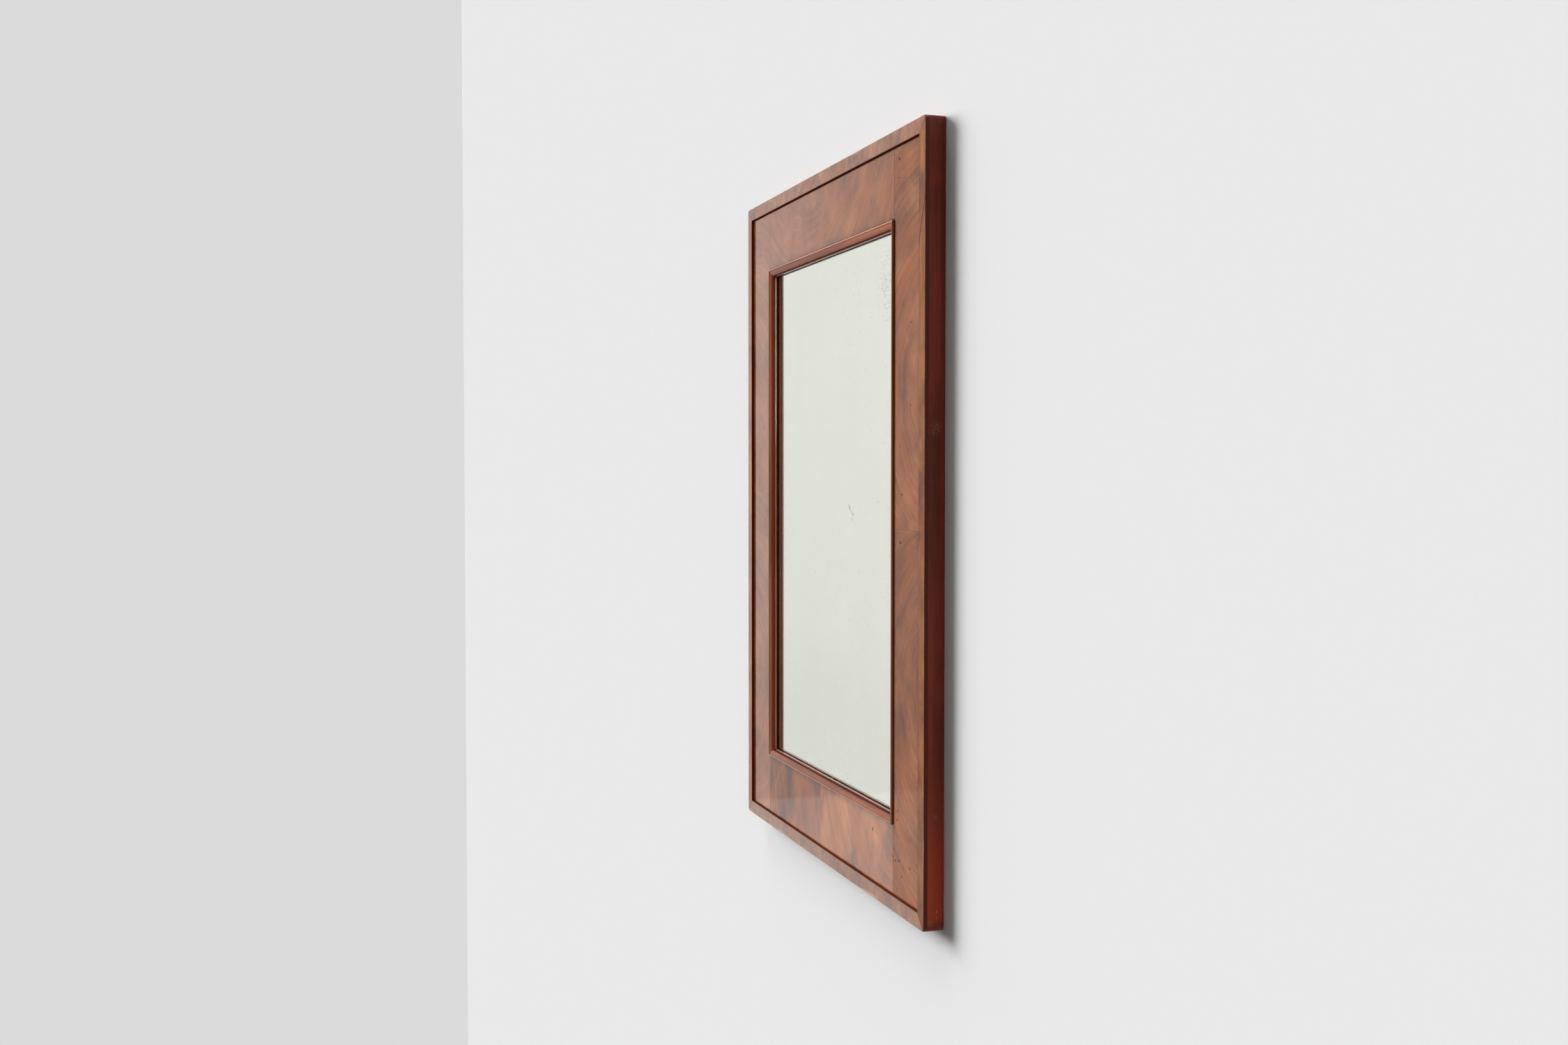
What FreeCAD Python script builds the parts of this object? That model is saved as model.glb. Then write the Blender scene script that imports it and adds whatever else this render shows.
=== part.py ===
import FreeCAD, Part
import math
import os
import re
import Sketcher

# Wall mirror: a veneered frame of four jointed members round a silvered plate.
# X runs across the mirror, Z up it, and the wall plane is Y = 0. The front faces -Y.
# The origin is the centre of the back. Depths are counted from the back towards the front.

# Driving sizes in millimetres
SIZES = {
    # Overall
    "frame_width": 680.0,
    "frame_height": 900.0,
    "corner_radius": 5.0,
    # Carcase members
    "member_width": 100.0,
    "core_thickness": 19.5,
    "core_under_moulding": 4.0,
    "facing_thickness": 1.8,
    "veneer_thickness": 1.2,
    # Raised border round the outside
    "band_width": 18.0,
    "band_thickness": 4.5,
    "band_outer_round": 1.1,
    "band_inner_round": 0.35,
    # Corner joints
    "tenon_thickness": 6.5,
    "tenon_length": 60.0,
    "tenon_from_edge": 18.0,
    "tenon_from_opening": 16.0,
    "tenon_clearance": 0.1,
    "peg_radius": 3.0,
    "peg_length": 16.0,
    "peg_from_shoulder": 30.0,
    "peg_from_tenon_side": 17.0,
    "driven_clearance": 0.02,
    # Sight moulding: a bead beside the veneer, a wide slope, then a narrow slip by the glass
    "moulding_width": 11.0,
    "bead_width": 3.0,
    "bead_side_height": 1.4,
    "bead_inner_height": 1.9,
    "bead_radius": 1.65,
    "slope_width": 6.4,
    "slope_end_drop": 0.7,
    "slope_radius": 14.0,
    "slip_drop": 3.7,
    "slip_set_in": 0.2,
    "slip_width": 1.1,
    "slip_fall": 0.3,
    # Plate
    "seat_depth": 12.9,
    "glass_thickness": 3.0,
    "glass_cover": 5.5,
    "silver_thickness": 0.3,
    "silver_margin": 0.5,
    "setting_block_length": 40.0,
    "setting_block_from_end": 60.0,
    # Packing behind the plate
    "packing_width": 12.0,
    "packing_clearance": 0.3,
    # Backboard
    "board_thickness": 6.0,
    "board_ledge": 6.0,
    "board_clearance": 1.0,
    "board_gap": 0.8,
    "nail_radius": 0.8,
    "nail_length": 14.0,
    "nail_head_radius": 1.7,
    "nail_head_height": 0.8,
    "nail_sink": 0.3,
    "nail_from_plank_side": 22.0,
    # Hangers, let into the back of the top rail
    "hanger_spacing": 300.0,
    "hanger_below_top": 36.0,
    "recess_depth": 8.6,
    "recess_clearance": 1.5,
    "plate_width": 24.0,
    "plate_rise": 16.0,
    "plate_thickness": 1.8,
    "plate_corner": 3.0,
    "knuckle_length": 11.0,
    "knuckle_wall": 1.3,
    "ring_wire_radius": 1.75,
    "ring_bore_clearance": 0.06,
    "ring_lift": 0.35,
    "ring_width": 20.0,
    "ring_drop": 17.0,
    "ring_bend_radius": 3.5,
    "screw_shank_radius": 1.5,
    "screw_head_radius": 3.0,
    "screw_length": 10.0,
    "screw_slot_width": 0.7,
    "screw_slot_depth": 0.6,
    "screw_from_side": 6.0,
    "screw_from_top": 5.5,
    # One overrun for all cuts
    "overrun": 2.0,
}

# Planes and steps that several pieces share, in the sizes above
HALF_X = "(frame_width / 2)"
HALF_Z = "(frame_height / 2)"
CORE_X = f"({HALF_X} - member_width - core_under_moulding)"
CORE_Z = f"({HALF_Z} - member_width - core_under_moulding)"
FIELD_X = f"({HALF_X} - member_width)"
FIELD_Z = f"({HALF_Z} - member_width)"
SIGHT_X = f"({FIELD_X} - moulding_width)"
SIGHT_Z = f"({FIELD_Z} - moulding_width)"
GLASS_X = f"({SIGHT_X} + glass_cover)"
GLASS_Z = f"({SIGHT_Z} + glass_cover)"
GLASS_BACK = "(seat_depth - glass_thickness)"
SILVER_BACK = f"({GLASS_BACK} - silver_thickness)"
TENON_BACK = "((core_thickness - tenon_thickness) / 2)"
TENON_TOP = f"({HALF_Z} - tenon_from_edge)"
TENON_FOOT = f"({CORE_Z} + tenon_from_opening)"
PEG_X = f"({CORE_X} + peg_from_shoulder)"
PEG_HEIGHTS = (f"({TENON_TOP} - peg_from_tenon_side)", f"({TENON_FOOT} + peg_from_tenon_side)")
PEG_HOLE = "(peg_radius + driven_clearance)"
BOARD_X = f"({CORE_X} + board_ledge - board_clearance)"
BOARD_Z = f"({CORE_Z} + board_ledge - board_clearance)"
PLANK_WIDTH = f"((2 * {BOARD_X} - 2 * board_gap) / 3)"
NAIL_X = f"({CORE_X} + board_ledge / 2)"
NAIL_Z = f"({CORE_Z} + board_ledge / 2)"
NAIL_HOLE = "(nail_radius + driven_clearance)"
NAIL_TIP = "(nail_sink + nail_length)"
HINGE_Z = f"({HALF_Z} - hanger_below_top)"
PLATE_BACK = "(recess_depth - plate_thickness)"
HINGE_DEPTH = f"({PLATE_BACK} - ring_lift - ring_wire_radius)"
BORE = "(ring_wire_radius + ring_bore_clearance)"
KNUCKLE = f"({BORE} + knuckle_wall)"
RECESS_X = "(ring_width / 2 + ring_wire_radius + recess_clearance)"
RECESS_Z = "(ring_drop + ring_wire_radius + recess_clearance)"
SCREW_X = "(plate_width / 2 - screw_from_side)"
SCREW_Z = f"({HINGE_Z} + plate_rise - screw_from_top)"
SCREW_HOLE = "(screw_shank_radius + driven_clearance)"

LEFT, MIDDLE, RIGHT = -1, 0, 1
BOTTOM, TOP = -1, 1
SIDES = {"left": LEFT, "right": RIGHT}
ENDS = {"bottom": BOTTOM, "top": TOP}
PLANKS = {"left": LEFT, "middle": MIDDLE, "right": RIGHT}
NAIL_HEIGHT_SHARES = (-0.81, -0.27, 0.27, 0.81)

doc = FreeCAD.newDocument("WallMirror")
sheet = doc.addObject("Spreadsheet::Sheet", "Sizes")
for row, (alias, value) in enumerate(SIZES.items(), start=1):
    sheet.set(f"A{row}", alias)
    sheet.set(f"B{row}", str(value))
    sheet.setAlias(f"B{row}", alias)
doc.recompute()

subparts = []


# The sheet's name goes before each size in an expression
def cells(text):
    return re.sub(r"[a-z]\w*", lambda m: m[0] if m[0] == "sqrt" else f"Sizes.{m[0]}", text)


def number(text):
    return float(sheet.evalExpression(cells(text)))


def new_body(name):
    body = doc.addObject("PartDesign::Body", name)
    body.Label = name
    subparts.append(body)
    return body


def new_sketch(body, role, lift="0"):
    sketch = body.newObject("Sketcher::SketchObject", f"{body.Name}_sketch")
    origin_plane = [f for f in body.Origin.OriginFeatures if f.Role == role][0]
    sketch.AttachmentSupport = [(origin_plane, "")]
    sketch.MapMode = "FlatFace"
    sketch.setExpression("AttachmentOffset.Base.z", cells(lift))
    return sketch


def bind(sketch, kind, places, text):
    index = sketch.addConstraint(Sketcher.Constraint(kind, *places, number(text)))
    sketch.setExpression(f"Constraints[{index}]", cells(text))


# A closed outline. A corner is (x, y), or (x, y, radius, bulge) where an arc starts:
# bulge 1 lies left of the way round, -1 right of it.
def outline(sketch, corners):
    first = sketch.GeometryCount
    points = [FreeCAD.Vector(number(c[0]), number(c[1]), 0) for c in corners]
    starts = []
    for i, corner in enumerate(corners):
        start = points[i]
        finish = points[(i + 1) % len(points)]
        if len(corner) == 2:
            sketch.addGeometry(Part.LineSegment(start, finish), False)
        else:
            radius = number(corner[2])
            chord = finish - start
            across = FreeCAD.Vector(-chord.y, chord.x, 0).normalize()
            rise = radius - math.sqrt(radius**2 - (chord.Length / 2)**2)
            middle = (start + finish) / 2 + across * (rise * corner[3])
            sketch.addGeometry(Part.Arc(start, middle, finish), False)
        ends = [sketch.getPoint(first + i, end).distanceToPoint(start) for end in (1, 2)]
        starts.append(1 + ends.index(min(ends)))
    for i, corner in enumerate(corners):
        after = (i + 1) % len(corners)
        joined = (first + i, 3 - starts[i], first + after, starts[after])
        sketch.addConstraint(Sketcher.Constraint("Coincident", *joined))
        bind(sketch, "DistanceX", (-1, 1, first + i, starts[i]), corner[0])
        bind(sketch, "DistanceY", (-1, 1, first + i, starts[i]), corner[1])
        if len(corner) > 2:
            bind(sketch, "Radius", (first + i,), corner[2])


def rectangle(sketch, x_from, x_to, y_from, y_to):
    outline(sketch, [(x_from, y_from), (x_to, y_from), (x_to, y_to), (x_from, y_to)])


def circle(sketch, x, y, radius):
    index = sketch.GeometryCount
    centre = FreeCAD.Vector(number(x), number(y), 0)
    sketch.addGeometry(Part.Circle(centre, FreeCAD.Vector(0, 0, 1), number(radius)), False)
    bind(sketch, "DistanceX", (-1, 1, index, 3), x)
    bind(sketch, "DistanceY", (-1, 1, index, 3), y)
    bind(sketch, "Radius", (index,), radius)


def pad(body, sketch, length, both_ways=False):
    feature = body.newObject("PartDesign::Pad", f"{body.Name}_pad")
    feature.Profile = sketch
    feature.SideType = "Symmetric" if both_ways else "One side"
    feature.setExpression("Length", cells(length))
    return feature


# A cut along the sketch's normal when forward, against it otherwise
def pocket(body, sketch, length, forward=True):
    feature = body.newObject("PartDesign::Pocket", f"{body.Name}_pocket")
    feature.Profile = sketch
    feature.Reversed = forward
    feature.setExpression("Length", cells(length))
    return feature


# A flat piece with its back at the depth given
def board(name, x_from, x_to, z_from, z_to, depth, thickness):
    body = new_body(name)
    sketch = new_sketch(body, "XZ_Plane", depth)
    rectangle(sketch, x_from, x_to, z_from, z_to)
    pad(body, sketch, thickness)
    return body


# Round holes from the depth given towards the front
def drill(body, places, radius, depth, length):
    sketch = new_sketch(body, "XZ_Plane", depth)
    for x, z in places:
        circle(sketch, x, z, radius)
    pocket(body, sketch, length)


def peg_places(side, end):
    return [(f"{side} * {PEG_X}", f"{end} * {height}") for height in PEG_HEIGHTS]


def plank_nail_places(plank, end):
    middle = f"{plank} * ({PLANK_WIDTH} + board_gap)"
    reach = f"({PLANK_WIDTH} / 2 - nail_from_plank_side)"
    return [(f"{middle} + {way} * {reach}", f"{end} * {NAIL_Z}") for way in (-1, 1)]


def side_nail_places(side):
    return [(f"{side} * {NAIL_X}", f"{share} * {BOARD_Z}") for share in NAIL_HEIGHT_SHARES]


def hanger_x(side):
    return f"({side} * hanger_spacing / 2)"


def screw_places(side):
    return [(f"{hanger_x(side)} + {way} * {SCREW_X}", SCREW_Z) for way in (-1, 1)]


# Upright carcase member: full height, mortised at both ends, rebated for the backboard
def core_stile(name, side):
    body = board(name, f"{side} * {CORE_X}", f"{side} * ({HALF_X} - facing_thickness)",
                 f"-{HALF_Z} + facing_thickness", f"{HALF_Z} - facing_thickness",
                 "0", "core_thickness")
    rebate = new_sketch(body, "XZ_Plane")
    rectangle(rebate, f"{side} * ({CORE_X} - overrun)", f"{side} * ({CORE_X} + board_ledge)",
              f"-{CORE_Z} - board_ledge", f"{CORE_Z} + board_ledge")
    pocket(body, rebate, "board_thickness")
    mortises = new_sketch(body, "YZ_Plane", f"{side} * {CORE_X}")
    for end in ENDS.values():
        rectangle(mortises, f"-({TENON_BACK} - tenon_clearance)",
                  f"-({TENON_BACK} + tenon_thickness + tenon_clearance)",
                  f"{end} * ({TENON_FOOT} - tenon_clearance)",
                  f"{end} * ({TENON_TOP} + tenon_clearance)")
    pocket(body, mortises, "tenon_length + tenon_clearance", side == RIGHT)
    pegs = [place for end in ENDS.values() for place in peg_places(side, end)]
    drill(body, pegs, PEG_HOLE, "0", "peg_length")
    drill(body, side_nail_places(side), NAIL_HOLE, "board_thickness",
          f"{NAIL_TIP} - board_thickness")


# Cross member between the stiles, with a tenon at each end
def core_rail(name, end):
    body = board(name, f"-{CORE_X}", CORE_X,
                 f"{end} * {CORE_Z}", f"{end} * ({HALF_Z} - facing_thickness)",
                 "0", "core_thickness")
    tenons = new_sketch(body, "XZ_Plane", TENON_BACK)
    rectangle(tenons, f"-{CORE_X} - tenon_length", f"{CORE_X} + tenon_length",
              f"{end} * {TENON_FOOT}", f"{end} * {TENON_TOP}")
    pad(body, tenons, "tenon_thickness")
    rebate = new_sketch(body, "XZ_Plane")
    rectangle(rebate, f"-{CORE_X} - overrun", f"{CORE_X} + overrun",
              f"{end} * ({CORE_Z} - overrun)", f"{end} * ({CORE_Z} + board_ledge)")
    pocket(body, rebate, "board_thickness")
    pegs = [place for side in SIDES.values() for place in peg_places(side, end)]
    drill(body, pegs, PEG_HOLE, "0", "peg_length")
    nails = [place for plank in PLANKS.values() for place in plank_nail_places(plank, end)]
    drill(body, nails, NAIL_HOLE, "board_thickness", f"{NAIL_TIP} - board_thickness")
    return body


# Recesses in the back of the top rail, deep enough for a hanger to lie below the surface
def hanger_recesses(rail):
    for side in SIDES.values():
        recess = new_sketch(rail, "XZ_Plane")
        rectangle(recess, f"{hanger_x(side)} - {RECESS_X}", f"{hanger_x(side)} + {RECESS_X}",
                  f"{HINGE_Z} - {RECESS_Z}", f"{HINGE_Z} + {RECESS_Z}")
        pocket(rail, recess, "recess_depth")
        drill(rail, screw_places(side), SCREW_HOLE, "recess_depth",
              f"{PLATE_BACK} + screw_length - recess_depth")


# Outline of a strip along one outer edge, mitred at both ends, with the frame's corner round.
# upright strips run along Z at X = way * half width, the others along X.
def mitred_strip(name, upright, way, width, depth, thickness):
    body = new_body(name)
    sketch = new_sketch(body, "XZ_Plane", depth)
    across, along = (HALF_X, HALF_Z) if upright else (HALF_Z, HALF_X)
    nick = "corner_radius * (1 - sqrt(0.5))"
    bulge = way if upright else -way
    corners = [
        (f"{way} * ({across} - {width})", f"-{along} + {width}"),
        (f"{way} * ({across} - {nick})", f"-{along} + {nick}", "corner_radius", -bulge),
        (f"{way} * {across}", f"-{along} + corner_radius"),
        (f"{way} * {across}", f"{along} - corner_radius", "corner_radius", -bulge),
        (f"{way} * ({across} - {nick})", f"{along} - {nick}"),
        (f"{way} * ({across} - {width})", f"{along} - {width}"),
    ]
    if not upright:
        corners = [(c[1], c[0]) + c[2:] for c in corners]
    outline(sketch, corners)
    pad(body, sketch, thickness)
    return body


# A fillet or chamfer on the wanted edges of the body as it stands
def dress(body, kind, size_name, size, wanted):
    doc.recompute()
    base = body.Tip
    names = [f"Edge{i}" for i, edge in enumerate(base.Shape.Edges, start=1) if wanted(edge)]
    feature = body.newObject(f"PartDesign::{kind}", f"{body.Name}_{kind}")
    feature.Base = (base, names)
    feature.setExpression(size_name, cells(size))


# Raised border piece: its outer front edge is rounded over, the inner one just eased
def band(name, upright, way):
    body = mitred_strip(name, upright, way, "band_width", "core_thickness", "band_thickness")
    front = number("-core_thickness - band_thickness * 3 / 4")
    near = number("band_width / 4")

    def on_front(edge, place):
        middle = edge.CenterOfMass
        out = way * (middle.x if upright else middle.z)
        return edge.BoundBox.YMax < front and abs(out - number(place)) < near

    across = HALF_X if upright else HALF_Z
    dress(body, "Fillet", "Radius", "band_outer_round", lambda edge: on_front(edge, across))
    dress(body, "Fillet", "Radius", "band_inner_round",
          lambda edge: on_front(edge, f"{across} - band_width"))


# Sight moulding section, from the veneer inwards. Each corner is (distance in, depth) with
# the radius of the arc that starts there: over the bead, then down the slope.
def moulding_corners():
    field = "(core_thickness + veneer_thickness)"
    slip = "(moulding_width - slip_width)"
    return [
        ("0", "core_thickness"),
        ("0", f"{field} + bead_side_height", "bead_radius"),
        ("bead_width", f"{field} + bead_inner_height", "slope_radius"),
        ("bead_width + slope_width", f"{field} - slope_end_drop"),
        (f"{slip} - slip_set_in", f"{field} - slope_end_drop - slip_set_in"),
        (slip, f"{field} - slip_drop"),
        ("moulding_width", f"{field} - slip_drop - slip_fall"),
        ("moulding_width", "seat_depth"),
        ("core_under_moulding", "seat_depth"),
        ("core_under_moulding", "core_thickness"),
    ]


# One side of the sight moulding, sawn to a mitre at each end
def moulding(name, upright, way):
    body = new_body(name)
    sketch = new_sketch(body, "XY_Plane" if upright else "YZ_Plane")
    edge, far_edge = (FIELD_X, FIELD_Z) if upright else (FIELD_Z, FIELD_X)
    corners = []
    for corner in moulding_corners():
        inward = f"{way} * ({edge} - ({corner[0]}))"
        backward = f"-({corner[1]})"
        place = (inward, backward) if upright else (backward, inward)
        bulge = way if upright else -way
        corners.append(place if len(corner) == 2 else place + (corner[2], bulge))
    outline(sketch, corners)
    pad(body, sketch, f"2 * {far_edge}", both_ways=True)
    saw = new_sketch(body, "XZ_Plane")
    for end in (-1, 1):
        cut = [
            (f"{way} * ({edge} + overrun)", f"{end} * ({far_edge} + overrun)"),
            (f"{way} * ({edge} - moulding_width - overrun)",
             f"{end} * ({far_edge} - moulding_width - overrun)"),
            (f"{way} * ({edge} - moulding_width - overrun)", f"{end} * ({far_edge} + overrun)"),
        ]
        outline(saw, cut if upright else [(c[1], c[0]) for c in cut])
    pocket(body, saw, "core_thickness + band_thickness + overrun")


# Softwood strip that holds the plate against its seat
def packing(name, upright, way):
    side_out = f"({CORE_X} - packing_clearance)"
    end_out = f"({CORE_Z} - packing_clearance)"
    thickness = f"{SILVER_BACK} - board_thickness"
    if upright:
        return board(name, f"{way} * ({side_out} - packing_width)", f"{way} * {side_out}",
                     f"-{end_out}", end_out, "board_thickness", thickness)
    between = f"({side_out} - packing_width)"
    return board(name, f"-{between}", between, f"{way} * ({end_out} - packing_width)",
                 f"{way} * {end_out}", "board_thickness", thickness)


# Backboard plank with a sunk hole for each of its nails
def plank(name, place):
    middle = f"{place} * ({PLANK_WIDTH} + board_gap)"
    body = board(name, f"{middle} - {PLANK_WIDTH} / 2", f"{middle} + {PLANK_WIDTH} / 2",
                 f"-{BOARD_Z}", BOARD_Z, "0", "board_thickness")
    nails = [nail for end in ENDS.values() for nail in plank_nail_places(place, end)]
    if place != MIDDLE:
        nails += side_nail_places(place)
    drill(body, nails, NAIL_HOLE, "0", "board_thickness")
    drill(body, nails, "nail_head_radius + driven_clearance", "0", "nail_sink + nail_head_height")


# A rod along Y whose back end is at the depth given
def rod(name, x, z, radius, depth, length, tip_radius=None):
    kind = "Part::Cone" if tip_radius else "Part::Cylinder"
    item = doc.addObject(kind, name)
    item.Placement = FreeCAD.Placement(FreeCAD.Vector(), FreeCAD.Rotation(FreeCAD.Vector(1, 0, 0), 90))
    item.setExpression("Placement.Base.x", cells(x))
    item.setExpression("Placement.Base.y", cells(f"-({depth})"))
    item.setExpression("Placement.Base.z", cells(z))
    item.setExpression("Radius1" if tip_radius else "Radius", cells(radius))
    if tip_radius:
        item.setExpression("Radius2", cells(tip_radius))
    item.setExpression("Height", cells(length))
    return item


def joined(name, pieces):
    item = doc.addObject("Part::MultiFuse", name)
    item.Shapes = pieces
    return item


def keep(item, name):
    item.Label = name
    subparts.append(item)


# Pegs that lock the four corner joints, flush with the back
def pegs():
    places = [p for side in SIDES.values() for end in ENDS.values() for p in peg_places(side, end)]
    rods = [rod("peg", x, z, "peg_radius", "0", "peg_length") for x, z in places]
    keep(joined("pegs", rods), "joint_pegs")


# Flat-headed nails through the planks into the ledge of the carcase
def nails():
    places = []
    for place in PLANKS.values():
        for end in ENDS.values():
            places += plank_nail_places(place, end)
    for side in SIDES.values():
        places += side_nail_places(side)
    pieces = []
    for x, z in places:
        pieces.append(rod("nail_head", x, z, "nail_head_radius", "nail_sink", "nail_head_height"))
        pieces.append(rod("nail_shank", x, z, "nail_radius", "nail_sink", "nail_length"))
    keep(joined("nails", pieces), "backboard_nails")


# Countersunk slotted screws of the hanger plates
def screws():
    solids = []
    slots = []
    for side in SIDES.values():
        for x, z in screw_places(side):
            head = "screw_head_radius - screw_shank_radius"
            solids.append(rod("screw_head", x, z, "screw_head_radius", PLATE_BACK, head,
                              "screw_shank_radius"))
            solids.append(rod("screw_shank", x, z, "screw_shank_radius", PLATE_BACK, "screw_length"))
            slot = doc.addObject("Part::Box", "screw_slot")
            slot.setExpression("Length", cells("2 * screw_head_radius + 2 * overrun"))
            slot.setExpression("Width", cells("screw_slot_depth + overrun"))
            slot.setExpression("Height", cells("screw_slot_width"))
            slot.setExpression("Placement.Base.x", cells(f"{x} - screw_head_radius - overrun"))
            slot.setExpression("Placement.Base.y", cells(f"-{PLATE_BACK} - screw_slot_depth"))
            slot.setExpression("Placement.Base.z", cells(f"{z} - screw_slot_width / 2"))
            slots.append(slot)
    cut = doc.addObject("Part::Cut", "screws")
    cut.Base = joined("screw_solids", solids)
    cut.Tool = joined("screw_slots", slots)
    keep(cut, "hanger_screws")


# Hanger plate: a flat plate whose lower edge carries a knuckle bored for the ring's bar
def hanger_plate(name, side):
    middle = hanger_x(side)
    body = board(name, f"{middle} - plate_width / 2", f"{middle} + plate_width / 2",
                 f"{HINGE_Z} - {KNUCKLE}", f"{HINGE_Z} + plate_rise", PLATE_BACK, "plate_thickness")
    side_of_knuckle = new_sketch(body, "YZ_Plane", middle)
    axis = f"-{HINGE_DEPTH}"
    outline(side_of_knuckle, [
        (f"-{PLATE_BACK}", f"{HINGE_Z} - {KNUCKLE}"),
        (axis, f"{HINGE_Z} - {KNUCKLE}", KNUCKLE, -1),
        (f"{axis} + {KNUCKLE}", HINGE_Z, KNUCKLE, -1),
        (axis, f"{HINGE_Z} + {KNUCKLE}"),
        (f"-{PLATE_BACK}", f"{HINGE_Z} + {KNUCKLE}"),
    ])
    pad(body, side_of_knuckle, "knuckle_length", both_ways=True)
    bore = new_sketch(body, "YZ_Plane", f"{middle} - knuckle_length / 2 - overrun")
    circle(bore, axis, HINGE_Z, BORE)
    pocket(body, bore, "knuckle_length + 2 * overrun")
    drill(body, screw_places(side), SCREW_HOLE, PLATE_BACK, "plate_thickness")
    above = number(f"{HINGE_Z} + {KNUCKLE}")
    surface = number(f"-{PLATE_BACK} - plate_thickness / 2")
    dress(body, "Chamfer", "Size", "screw_head_radius - screw_shank_radius",
          lambda edge: edge.Closed and edge.BoundBox.ZMin > above and edge.BoundBox.YMax > surface)
    top = number(f"{HINGE_Z} + plate_rise - plate_corner / 2")
    narrow = number("plate_corner / 2")
    dress(body, "Fillet", "Radius", "plate_corner",
          lambda edge: edge.BoundBox.ZMin > top and edge.BoundBox.XLength < narrow)


# D-ring: one wire of constant thickness, its straight bar in the knuckle
def hanger_ring(name, side):
    body = new_body(name)
    path = new_sketch(body, "XZ_Plane", HINGE_DEPTH)
    left = f"({hanger_x(side)} - ring_width / 2)"
    right = f"({hanger_x(side)} + ring_width / 2)"
    shoulder = f"{HINGE_Z} - ring_bend_radius"
    waist = f"{HINGE_Z} - ring_drop + ring_width / 2"
    outline(path, [
        (f"{left} + ring_bend_radius", HINGE_Z),
        (f"{right} - ring_bend_radius", HINGE_Z, "ring_bend_radius", 1),
        (right, shoulder),
        (right, waist, "ring_width / 2", 1),
        (hanger_x(side), f"{HINGE_Z} - ring_drop", "ring_width / 2", 1),
        (left, waist),
        (left, shoulder, "ring_bend_radius", 1),
    ])
    section = new_sketch(body, "YZ_Plane", hanger_x(side))
    circle(section, f"-{HINGE_DEPTH}", HINGE_Z, "ring_wire_radius")
    pipe = body.newObject("PartDesign::AdditivePipe", f"{name}_wire")
    pipe.Profile = section
    pipe.Spine = (path, [f"Edge{i}" for i in range(1, path.GeometryCount + 1)])
    pipe.Mode = "Standard"


# The part
for side_name, side in SIDES.items():
    core_stile(f"core_stile_{side_name}", side)
for end_name, end in ENDS.items():
    rail = core_rail(f"core_rail_{end_name}", end)
    if end == TOP:
        hanger_recesses(rail)
pegs()
for name, way in SIDES.items():
    board(f"veneer_stile_{name}", f"{way} * {FIELD_X}", f"{way} * ({HALF_X} - band_width)",
          f"-{HALF_Z} + band_width", f"{HALF_Z} - band_width",
          "core_thickness", "veneer_thickness")
for name, way in ENDS.items():
    board(f"veneer_rail_{name}", f"-{FIELD_X}", FIELD_X,
          f"{way} * {FIELD_Z}", f"{way} * ({HALF_Z} - band_width)",
          "core_thickness", "veneer_thickness")
for upright, names in ((True, SIDES), (False, ENDS)):
    for name, way in names.items():
        band(f"band_{name}", upright, way)
        mitred_strip(f"facing_{name}", upright, way, "facing_thickness", "0", "core_thickness")
        moulding(f"moulding_{name}", upright, way)
        packing(f"packing_{name}", upright, way)
board("mirror_glass", f"-{GLASS_X}", GLASS_X, f"-{GLASS_Z}", GLASS_Z,
      GLASS_BACK, "glass_thickness")
board("silvering", f"-{GLASS_X} + silver_margin", f"{GLASS_X} - silver_margin",
      f"-{GLASS_Z} + silver_margin", f"{GLASS_Z} - silver_margin",
      SILVER_BACK, "silver_thickness")
for name, way in SIDES.items():
    outer = f"{GLASS_X} - setting_block_from_end"
    board(f"setting_block_{name}", f"{way} * ({outer} - setting_block_length)", f"{way} * ({outer})",
          f"-{CORE_Z}", f"-{GLASS_Z}", GLASS_BACK, "glass_thickness")
for name, place in PLANKS.items():
    plank(f"backboard_{name}", place)
nails()
for name, side in SIDES.items():
    hanger_plate(f"hanger_plate_{name}", side)
    hanger_ring(f"hanger_ring_{name}", side)
screws()

doc.recompute()
faults = [item.Name for item in doc.Objects if {"Invalid", "Error"} & set(item.State)]
faults += [item.Label for item in subparts if item.Shape.isNull() or not item.Shape.isValid()]
if faults:
    raise RuntimeError(f"Not built: {faults}")
os.makedirs("parts", exist_ok=True)
for item in subparts:
    item.Shape.exportStep(f"parts/{item.Label}.step")
    print(item.Label, len(item.Shape.Solids), round(item.Shape.Volume, 3))
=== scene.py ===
"""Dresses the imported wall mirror: polished figured mahogany, the old plate, and the bare wood and metal behind."""

import math

import bpy
import numpy as np
from mathutils import Euler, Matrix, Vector


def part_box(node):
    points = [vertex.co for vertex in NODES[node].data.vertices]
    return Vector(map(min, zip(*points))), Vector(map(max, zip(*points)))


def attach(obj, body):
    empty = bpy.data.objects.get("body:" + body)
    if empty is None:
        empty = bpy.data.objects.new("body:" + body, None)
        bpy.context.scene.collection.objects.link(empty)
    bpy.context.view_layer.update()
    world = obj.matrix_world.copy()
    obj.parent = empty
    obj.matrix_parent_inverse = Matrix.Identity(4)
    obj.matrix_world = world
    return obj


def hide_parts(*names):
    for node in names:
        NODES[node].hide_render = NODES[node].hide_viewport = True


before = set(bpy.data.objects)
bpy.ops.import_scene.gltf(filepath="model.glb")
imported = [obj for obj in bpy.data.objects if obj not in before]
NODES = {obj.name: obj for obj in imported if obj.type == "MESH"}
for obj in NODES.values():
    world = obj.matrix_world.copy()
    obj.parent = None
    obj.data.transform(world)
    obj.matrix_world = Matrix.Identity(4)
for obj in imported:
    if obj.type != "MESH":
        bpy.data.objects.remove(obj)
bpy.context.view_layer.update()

# ---------------------------------------------------------------- places on the frame, in metres
HALF_WIDTH = 0.340
HALF_HEIGHT = 0.450
BORDER = 0.018            # width of the raised border
SIGHT_X = 0.240           # outer edge of the moulding round the plate
SIGHT_Z = 0.350
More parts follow.
